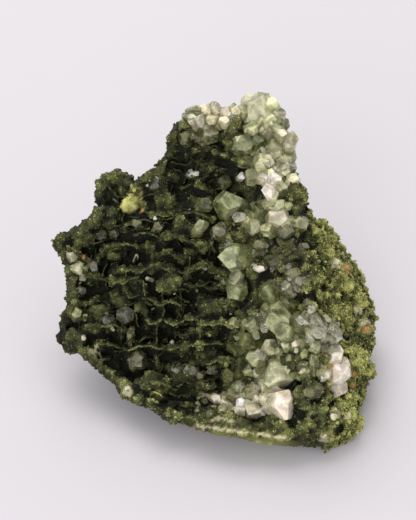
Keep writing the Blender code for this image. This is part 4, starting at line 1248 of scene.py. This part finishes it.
def crystalPlanes(rows, draw):
    # each crystal is the space inside 13 planes: six sides, six slopes and its root. A
    # plane has its facing and its reach, which is how far it is from the crystal's foot
    shape, count = crystalShape, len(rows)
    middle = np.array([row[:2] for row in rows], float)
    axis = unit(np.array([row[2] for row in rows], float) @ np.stack([acrossWay, upWay, outWay]))
    radius, length, lift = np.array([row[3:6] for row in rows], float).T
    radius = radius * shape["swell"]
    first = unit(np.cross(axis, draw.normal(0, 1, (count, 3))))
    second = np.cross(axis, first)
    level = restLevel(middle[:, 0], middle[:, 1]) + lift
    foot = fromFace(middle[:, 0], middle[:, 1], level)
    foot = foot - axis * (length * shape["foot"] * (1 - axis @ outWay))[:, None]
    turn = np.arange(6) * np.pi / 3
    side = (first[:, None] * np.cos(turn)[None, :, None]
            + second[:, None] * np.sin(turn)[None, :, None])
    sideReach = radius[:, None] * draw.uniform(*shape["side"], (count, 6))
    steep = np.radians(shape["steep"] + draw.uniform(*shape["steepVary"], (count, 1)))
    slope = side * np.sin(steep)[:, :, None] + axis[:, None] * np.cos(steep)[:, :, None]
    uneven = np.where(np.arange(6) % 2 == 0, *shape["slopes"])
    uneven = uneven * draw.uniform(*shape["slopeVary"], (count, 6))
    slopeReach = length[:, None] * np.cos(steep) * uneven
    root = shape["root"] + shape["rootGrowth"] * radius
    planes = np.concatenate([side, slope, -axis[:, None]], axis=1)
    reach = np.concatenate([sideReach, slopeReach, root[:, None]], axis=1)
    return planes, reach, foot, axis, first


def crystalArrays(rows, seed):
    # a crystal's corners are the points where three of its planes meet that lie inside
    # all the others, and a facet's corners are in order of their turn about its middle
    planes, reach, foot, axis, first = crystalPlanes(rows, np.random.default_rng(seed))
    number = planes.shape[1]
    a, b, c = np.array([(i, j, k) for i in range(number) for j in range(i) for k in range(j)]).T
    trio = np.stack([planes[:, a], planes[:, b], planes[:, c]], axis=2)
    trioReach = np.stack([reach[:, a], reach[:, b], reach[:, c]], axis=2)
    sound = np.abs(np.linalg.det(trio)) > 1e-3
    trio[~sound] = np.eye(3)
    meet = np.linalg.solve(trio, trioReach[..., None])[..., 0]
    within = (np.einsum("nmd,npd->nmp", meet, planes) <= reach[:, None] + 1e-6).all(-1)
    kept = sound & within
    index = np.cumsum(kept.ravel()).reshape(kept.shape) - 1
    member = np.stack([a, b, c], axis=1)
    faces = []
    for n in range(len(rows)):
        for p in range(number):
            corner = np.flatnonzero(kept[n] & (member == p).any(1))
            if len(corner) < 3:
                continue
            around = meet[n, corner] - meet[n, corner].mean(0)
            right = unit(np.cross(planes[n, p], axis[n] + first[n] * 0.37))
            ahead = np.cross(planes[n, p], right)
            order = np.argsort(np.arctan2(around @ ahead, around @ right))
            faces.append(index[n, corner[order]].tolist())
    owner = np.nonzero(kept)[0]
    along = (meet * axis[:, None]).sum(-1)[kept]
    return (meet + foot[:, None])[kept], faces, owner, along


def withMiddles(mesh):
    # a point in the middle of each broad facet; the edge attribute is 0 there and rises
    # towards the facet's outline, further on broader facets, and paints light along the edges
    square = mm * mm
    shape = bmesh.new()
    shape.from_mesh(mesh)
    corners = len(shape.verts)
    broad = [facet for facet in shape.faces if facet.calc_area() > crystalShape["broad"] * square]
    edge = np.zeros(corners + len(broad))
    for facet in broad:
        share = min(1.0, facet.calc_area() / (crystalShape["broadest"] * square)) ** 0.5
        for corner in facet.verts:
            edge[corner.index] = max(edge[corner.index], share)
    bmesh.ops.poke(shape, faces=broad)
    shape.to_mesh(mesh)
    shape.free()
    setValues(mesh, {"edge": edge})
    return mesh


def crystalPiece(name, rows, seed, finish, replaced=None):
    # the crystals with bevelled edges, each of its own tint and milkiness, and each facet
    # of its own brightness, painted light for its reflections; moss can grow on them near their feet
    draw = np.random.default_rng(seed + 500)
    places, faces, owner, along = crystalArrays(rows, seed)
    mesh = bpy.data.meshes.new(name)
    mesh.from_pydata((places * mm).tolist(), [], faces)
    tints = np.array([quartzTones[row[6]][0] for row in rows])
    tints = tints * draw.uniform(*crystalShape["tintVary"], (len(rows), 1))
    milk = np.array([quartzTones[row[6]][1] for row in rows])
    milk = milk + draw.uniform(*crystalShape["milkVary"], len(rows))
    setValues(mesh, {"milk": milk[owner], "along": along})
    layer = mesh.attributes.new("tint", "FLOAT_COLOR", "POINT")
    colours = np.concatenate([np.clip(tints, 0, 1), np.ones((len(rows), 1))], axis=1)[owner]
    layer.data.foreach_set("color", colours.astype(np.float32).ravel())
    # painted light: each facet gets a random brightness
    layer = mesh.attributes.new("facet", "FLOAT", "FACE")
    brightness = draw.beta(*crystalShape["facetVary"], len(faces))
    layer.data.foreach_set("value", brightness.astype(np.float32))
    piece = addPiece(name, mesh, quartzMaterials[finish])
    edge = piece.modifiers.new("edge", "BEVEL")
    edge.width = crystalShape["bevel"] * mm
    edge.segments = 1
    edge.limit_method = "ANGLE"
    edge.angle_limit = crystalShape["bevelAngle"]
    mesh = withMiddles(applied(piece))
    places = pointsOf(mesh)
    along = np.empty(len(places), np.float32)
    mesh.attributes["along"].data.foreach_get("value", along)
    triangles = trianglesOf(mesh)
    masks = crustMasks(places, normalsOf(mesh), np.zeros(len(places)))
    masks["short"] = np.full(len(places), crystalMoss["short"])
    surface = gathered(places, triangles, masks)
    ragged = noiseSum(places[triangles].mean(1), crystalMoss["ragged"])
    mossy = smoothStep(*crystalMoss["along"], along[triangles].mean(1) + ragged)
    surface["area"] *= crystalMoss["share"] * mossy
    crystalSurfaces.append(surface)
    if replaced:
        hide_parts(replaced)
    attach(piece, "root")
    return piece


for n, (name, (finish, rows)) in enumerate(quartzGroups.items()):
    crystalPiece(name.replace("quartz", "crystals"), rows, 100 + n, finish, name)
print("quartz groups:", len(quartzGroups))

# Small quartz points fast in the crust, each alone
smallQuartz = [
    (-25.3, 16.7, (-0.3, 0.5, 1.0), 1.7, 4.6, 0.4, "grey"),
    (-18.5, 15.6, (0.3, 0.5, 1.0), 1.7, 4.2, 0.4, "grey"),
    (-38, 13.5, (-0.2, 0.2, 1.0), 2.0, 3.2, 0.2, "dim"),
    (-33.5, 14.5, (0.2, 0.3, 1.0), 1.9, 3.2, 0.2, "dim"),
    (-40.5, 3, (0.6, -0.4, 0.8), 2.0, 4.4, 0.4, "dim"),
    (-44.5, -5.5, (0.2, 0.3, 0.9), 1.9, 3.6, 0.4, "dim"),
    (-46, -12.5, (0.1, 0.4, 0.9), 2.3, 4.6, 0.4, "green"),
    (-29.5, -13.5, (-0.1, 0.1, 1.0), 2.9, 4.0, 1.0, "dim"),
    (-35, -15.3, (-0.2, 0.3, 1.0), 2.0, 4.0, 0.6, "dim"),
    (-27.6, -21, (0.0, 0.8, 0.6), 1.4, 4.4, 1.0, "grey"),
    (-32.5, -6.8, (0.2, 0.2, 1.0), 1.9, 4.0, 0.6, "olive"),
    (-3, 23.5, (-0.3, -0.2, 1.0), 2.8, 5.0, 1.0, "olive"),
    (-4.3, 15.5, (0.4, 0.7, 0.8), 2.3, 6.0, 1.0, "green"),
    (2.6, 14.6, (0.2, 0.3, 1.0), 3.0, 4.6, 1.0, "grey"),
    (-9.5, 46, (-0.4, 0.2, 1.0), 2.6, 4.2, 0.6, "olive"),
    (3.4, 30.5, (0.1, 0.1, 1.0), 2.5, 4.5, 0.8, "olive"),
    (33, -36.5, (0.0, 0.3, 1.0), 3.0, 3.0, 0.0, "olive"),
    (4.5, -33, (-0.3, 0.1, 1.0), 2.4, 3.6, 0.8, "olive"),
    (15.5, 9.6, (0.1, 0.2, 1.0), 1.8, 3.4, 0.6, "grey"),
    (23, 7.6, (0.0, 0.0, 1.0), 2.3, 3.6, 0.5, "smoke"),
    (20.4, 4.0, (0.2, -0.2, 1.0), 2.2, 3.4, 0.4, "smoke"),
    (15.4, 2.2, (0.8, -0.3, 0.6), 1.2, 3.8, 0.6, "rosy"),
    (27, -22.8, (0.1, 0.1, 1.0), 1.5, 3.4, 0.8, "white"),
    (31.7, -11.4, (0.2, 0.5, 0.8), 1.6, 4.0, 0.6, "clear"),
    (36, -32.4, (-0.3, -0.4, 0.9), 2.2, 4.0, 0.6, "rosy"),
    (29.6, -30.6, (0.0, -0.2, 1.0), 1.8, 3.6, 0.5, "cream"),
    (39, -46, (0.3, 0.0, 1.0), 1.3, 3.0, 0.2, "cream"),
    (36, -52, (0.1, -0.2, 1.0), 1.2, 2.8, 0.0, "rosy"),
    (49, -12, (0.5, 0.2, 0.8), 1.4, 2.8, 0.0, "white"),
    (41, 4.4, (0.5, 0.3, 0.8), 1.5, 2.8, 0.0, "cream"),
    (-6.5, 46.4, (0.1, 0.0, 1.0), 1.7, 3.4, 0.3, "grey"),
    (-7.6, 33.6, (0.2, 0.2, 1.0), 1.5, 3.6, 0.8, "spark"),
    (-5.6, 33.6, (-0.3, 0.1, 1.0), 1.2, 3.2, 0.8, "spark"),
    (9, 32.6, (0.2, 0.2, 1.0), 1.3, 3.4, 0.6, "spark"),
    (-19.4, 19, (0.0, 0.3, 1.0), 0.8, 2.6, 0.6, "spark"),
    (-43.4, -21, (0.0, 0.0, 1.0), 0.9, 2.6, 0.4, "white"),
    (-28.6, -37.6, (-0.2, -0.2, 1.0), 1.2, 2.8, 0.0, "white"),
    (-13.6, -22.4, (0.0, 0.0, 1.0), 0.8, 2.6, 0.6, "white"),
]
crystalPiece("crystals_small", smallQuartz, 151, "pale_quartz")

# Fine quartz between the larger crystals: middle (across, up), half sizes of the patch,
# how many, radius from and to, and tones
druses = [
    ((0, 52.6), (9, 3.6), 58, (0.7, 1.6), ("cream", "clear", "cream", "grey")),
    ((15.5, 51), (6, 5.5), 20, (1.4, 2.8), ("cream", "leaf", "green", "leaf")),
    ((20, 41), (5.5, 9), 26, (1.2, 2.8), ("cream", "leaf", "green", "grey")),
    ((22, 31), (5, 6), 15, (1.2, 2.8), ("rosy", "cream", "leaf", "green")),
    ((11, 42), (4.5, 5), 10, (0.9, 2.2), ("green", "olive")),
    ((19, 19), (8, 7), 30, (0.9, 2.5), ("leaf", "green", "olive", "leaf", "olive")),
    ((22, 6.5), (8, 6), 30, (0.6, 1.9), ("smoke", "smoke", "smoke", "olive")),
    ((25.5, -3.5), (3.4, 4.0), 18, (0.5, 1.3), ("white", "clear", "cream")),
    ((25, -4.5), (6, 6), 26, (0.7, 2.2), ("clear", "cream", "green", "grey")),
    ((25, -15), (9, 8), 28, (1.3, 3.0), ("green", "moss", "olive", "grey")),
    ((30, -27), (9, 6), 26, (0.7, 2.0), ("grey", "moss", "olive", "green")),
    ((35, -19), (5, 7), 16, (1.0, 2.5), ("clear", "grey", "grey")),
    ((40, -32), (5, 8), 7, (0.8, 1.6), ("rosy", "grey", "cream")),
    ((18, -33), (7, 8), 26, (1.1, 2.7), ("green", "leaf", "cream", "green")),
    ((10, -42), (10, 5), 44, (0.7, 2.2), ("cream", "white", "green", "leaf")),
    ((1, -43), (8, 4), 24, (0.5, 1.3), ("grey", "olive", "cream")),
    ((7, 8), (7, 14), 30, (0.8, 2.2), ("olive", "grey", "green")),
    ((11, -20), (6, 8), 16, (0.9, 2.4), ("olive", "green")),
    ((-8, -31.5), (8, 3), 18, (0.4, 1.0), ("clear", "grey")),
    ((-20, 0), (28, 34), 50, (0.3, 0.8), ("dim", "olive", "rosy")),
]
druseShape = {
    "seed": 161, "radiusPower": 1.1, "tilt": 0.7, "rise": 0.15, "hole": 0.2,
    "length": (1.4, 2.8), "longer": 0.6, "lift": (-1.1, 0.1),
}


def druseRows():
    # in each patch, places at random turns and at the root of a random share of its half
    # sizes, and none in a dark hole
    look = druseShape
    draw = np.random.default_rng(look["seed"])
    rows = []
    for (across, up), (wide, tall), count, (small, large), tones in druses:
        turn = draw.uniform(0, 2 * np.pi, count)
        away = np.sqrt(draw.uniform(0, 1, count))
        for k in range(count):
            radius = small + (large - small) * draw.uniform() ** look["radiusPower"]
            way = (draw.normal(0, look["tilt"]), draw.normal(look["rise"], look["tilt"]), 1.0)
            place = across + wide * away[k] * np.cos(turn[k]), up + tall * away[k] * np.sin(turn[k])
            if holeMask(*place) > look["hole"]:
                continue
            length = radius * draw.uniform(*look["length"]) + look["longer"]
            lift = draw.uniform(*look["lift"])
            rows.append((*place, way, radius, length, lift, tones[draw.integers(len(tones))]))
    return rows


drusePiece = crystalPiece("crystals_fine", druseRows(), 162, "pale_quartz")
print("fine quartz:", len(drusePiece.data.polygons), "faces")

# Needles of epidote all over the crust: spindles of eight faces, standing about the normal.
# A spindle is two points and a ring of four between them
needleShape = {"count": 24500, "ridgeShare": 0.75, "tilt": 0.55, "proud": 0.15, "lighter": 0.02}
needlePieces = {
    "needles_face": {
        "seed": 31, "side": "face", "length": (0.4, 0.85), "width": (0.24, 0.4), "vary": 0.21},
    "needles_face_short": {
        "seed": 34, "side": "face", "length": (0.3, 0.6), "width": (0.24, 0.4), "vary": 0.21},
    "needles_face_fine": {
        "seed": 32, "side": "face", "length": (0.3, 0.65), "width": (0.18, 0.32), "vary": 0.22},
    "needles_flank": {
        "seed": 33, "side": "flank", "length": (0.4, 0.9), "width": (0.26, 0.5), "vary": 0.36},
}
spindlePoints = np.array([
    (0, 0, -0.5), (1, 0, -0.1), (0, 1, -0.1), (-1, 0, -0.1), (0, -1, -0.1), (0, 0, 0.5)])
spindleFaces = np.array([
    (0, 2, 1), (0, 3, 2), (0, 4, 3), (0, 1, 4), (5, 1, 2), (5, 2, 3), (5, 3, 4), (5, 4, 1)])
granuleSurface = gathered(granulePoints, granuleFaces, granuleMasks)
mossSurface = together([crustSurface, lipSurface, granuleSurface] + crystalSurfaces)


def needleArrays(look):
    # the spindle's points times each needle's length along its axis and its width across
    # it, from a place on the moss's ground
    draw = np.random.default_rng(look["seed"])
    count = needleShape["count"]
    feet, facing, here = scattered(mossSurface, count, look["side"], draw, needleShape["ridgeShare"])
    axis = unit(facing + draw.normal(0, needleShape["tilt"], (count, 3)))
    first = unit(np.cross(axis, draw.normal(0, 1, (count, 3))))
    second = np.cross(axis, first)
    short = 1 - here.pop("short")
    long = draw.uniform(*look["length"], count) * short
    wide = draw.uniform(*look["width"], count) / 2 * short
    rise = spindlePoints[None, :, 2:] + needleShape["proud"]
    made = (feet[:, None] + axis[:, None] * rise * long[:, None, None]
            + first[:, None] * spindlePoints[None, :, :1] * wide[:, None, None]
            + second[:, None] * spindlePoints[None, :, 1:2] * wide[:, None, None])
    corners = len(spindlePoints)
    faces = spindleFaces[None] + corners * np.arange(count)[:, None, None]
    here["ridge"] = here["ridge"] + draw.normal(needleShape["lighter"], look["vary"], count)
    masks = {key: np.repeat(values, corners) for key, values in here.items()}
    return made.reshape(-1, 3), faces.reshape(-1, 3), masks


for name, look in needlePieces.items():
    needlePoints, needleFaces, needleMasks = needleArrays(look)
    piece = addPiece(name, meshOf(name, needlePoints, needleFaces, needleMasks), needleMaterial)
    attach(piece, "root")
    print(name, "has", len(needleFaces), "faces")

# A plain pale floor
floorLook = {
    "side": 4000.0, "below": 0.02, "colour": (0.545, 0.528, 0.556), "roughness": 0.8, "gloss": 0.2,
}
half = floorLook["side"] / 2
floorMesh = meshOf("floor", np.array(
    [(-half, -half, 0), (half, -half, 0), (half, half, 0), (-half, half, 0)], float),
    np.array([(0, 1, 2, 3)]))
floorFinish = Finish("floor")
floor = addPiece("floor", floorMesh, floorFinish.done(floorFinish.shader({
    "Base Color": (*floorLook["colour"], 1), "Roughness": floorLook["roughness"],
    "Specular IOR Level": floorLook["gloss"]})))
floor.location.z = -floorLook["below"] * mm

# Light: a wide soft box behind and above, a weaker one in front, and pale light all round
lights = {
    "key": {"from": (-260, 1370, 1980), "side": 2300, "power": 51, "colour": (1.0, 0.985, 0.955)},
    "fill": {"from": (-400, -1100, 700), "side": 900, "power": 8.0, "colour": (1.0, 0.99, 0.97)},
}
lightAim = Vector((0, 0, 30))
worldLook = {"colour": (0.985, 0.97, 0.985), "strength": 0.79}
for name, look in lights.items():
    data = bpy.data.lights.new(name, "AREA")
    data.shape = "SQUARE"
    data.size = look["side"] * mm
    data.energy = look["power"]
    data.color = look["colour"]
    lamp = bpy.data.objects.new(name, data)
    lamp.location = Vector(look["from"]) * mm
    lamp.rotation_euler = (lightAim - Vector(look["from"])).to_track_quat("-Z", "Y").to_euler()
    bpy.context.scene.collection.objects.link(lamp)
world = bpy.data.worlds.new("studio")
world.use_nodes = True
background = world.node_tree.nodes["Background"]
background.inputs["Color"].default_value = (*worldLook["colour"], 1)
background.inputs["Strength"].default_value = worldLook["strength"]
bpy.context.scene.world = world
bpy.context.scene.view_settings.view_transform = "Standard"

# Camera: square on to the leaning face, as in the photograph
photoView = {"aim": (-1.67, 5.0, 0.0), "distance": 600.0, "tall": 173.3, "sensor": 36.0, "near": 10.0}
camera = bpy.data.cameras.new("camera")
camera.sensor_fit = "VERTICAL"
camera.sensor_height = photoView["sensor"]
camera.lens = photoView["sensor"] * photoView["distance"] / photoView["tall"]
camera.clip_start = photoView["near"] * mm
eye = bpy.data.objects.new("camera", camera)
aim = fromFace(*photoView["aim"])
eye.location = Vector((aim + outWay * photoView["distance"]) * mm)
eye.rotation_euler = (Vector(aim * mm) - eye.location).to_track_quat("-Z", "Y").to_euler()
bpy.context.scene.collection.objects.link(eye)
bpy.context.scene.camera = eye
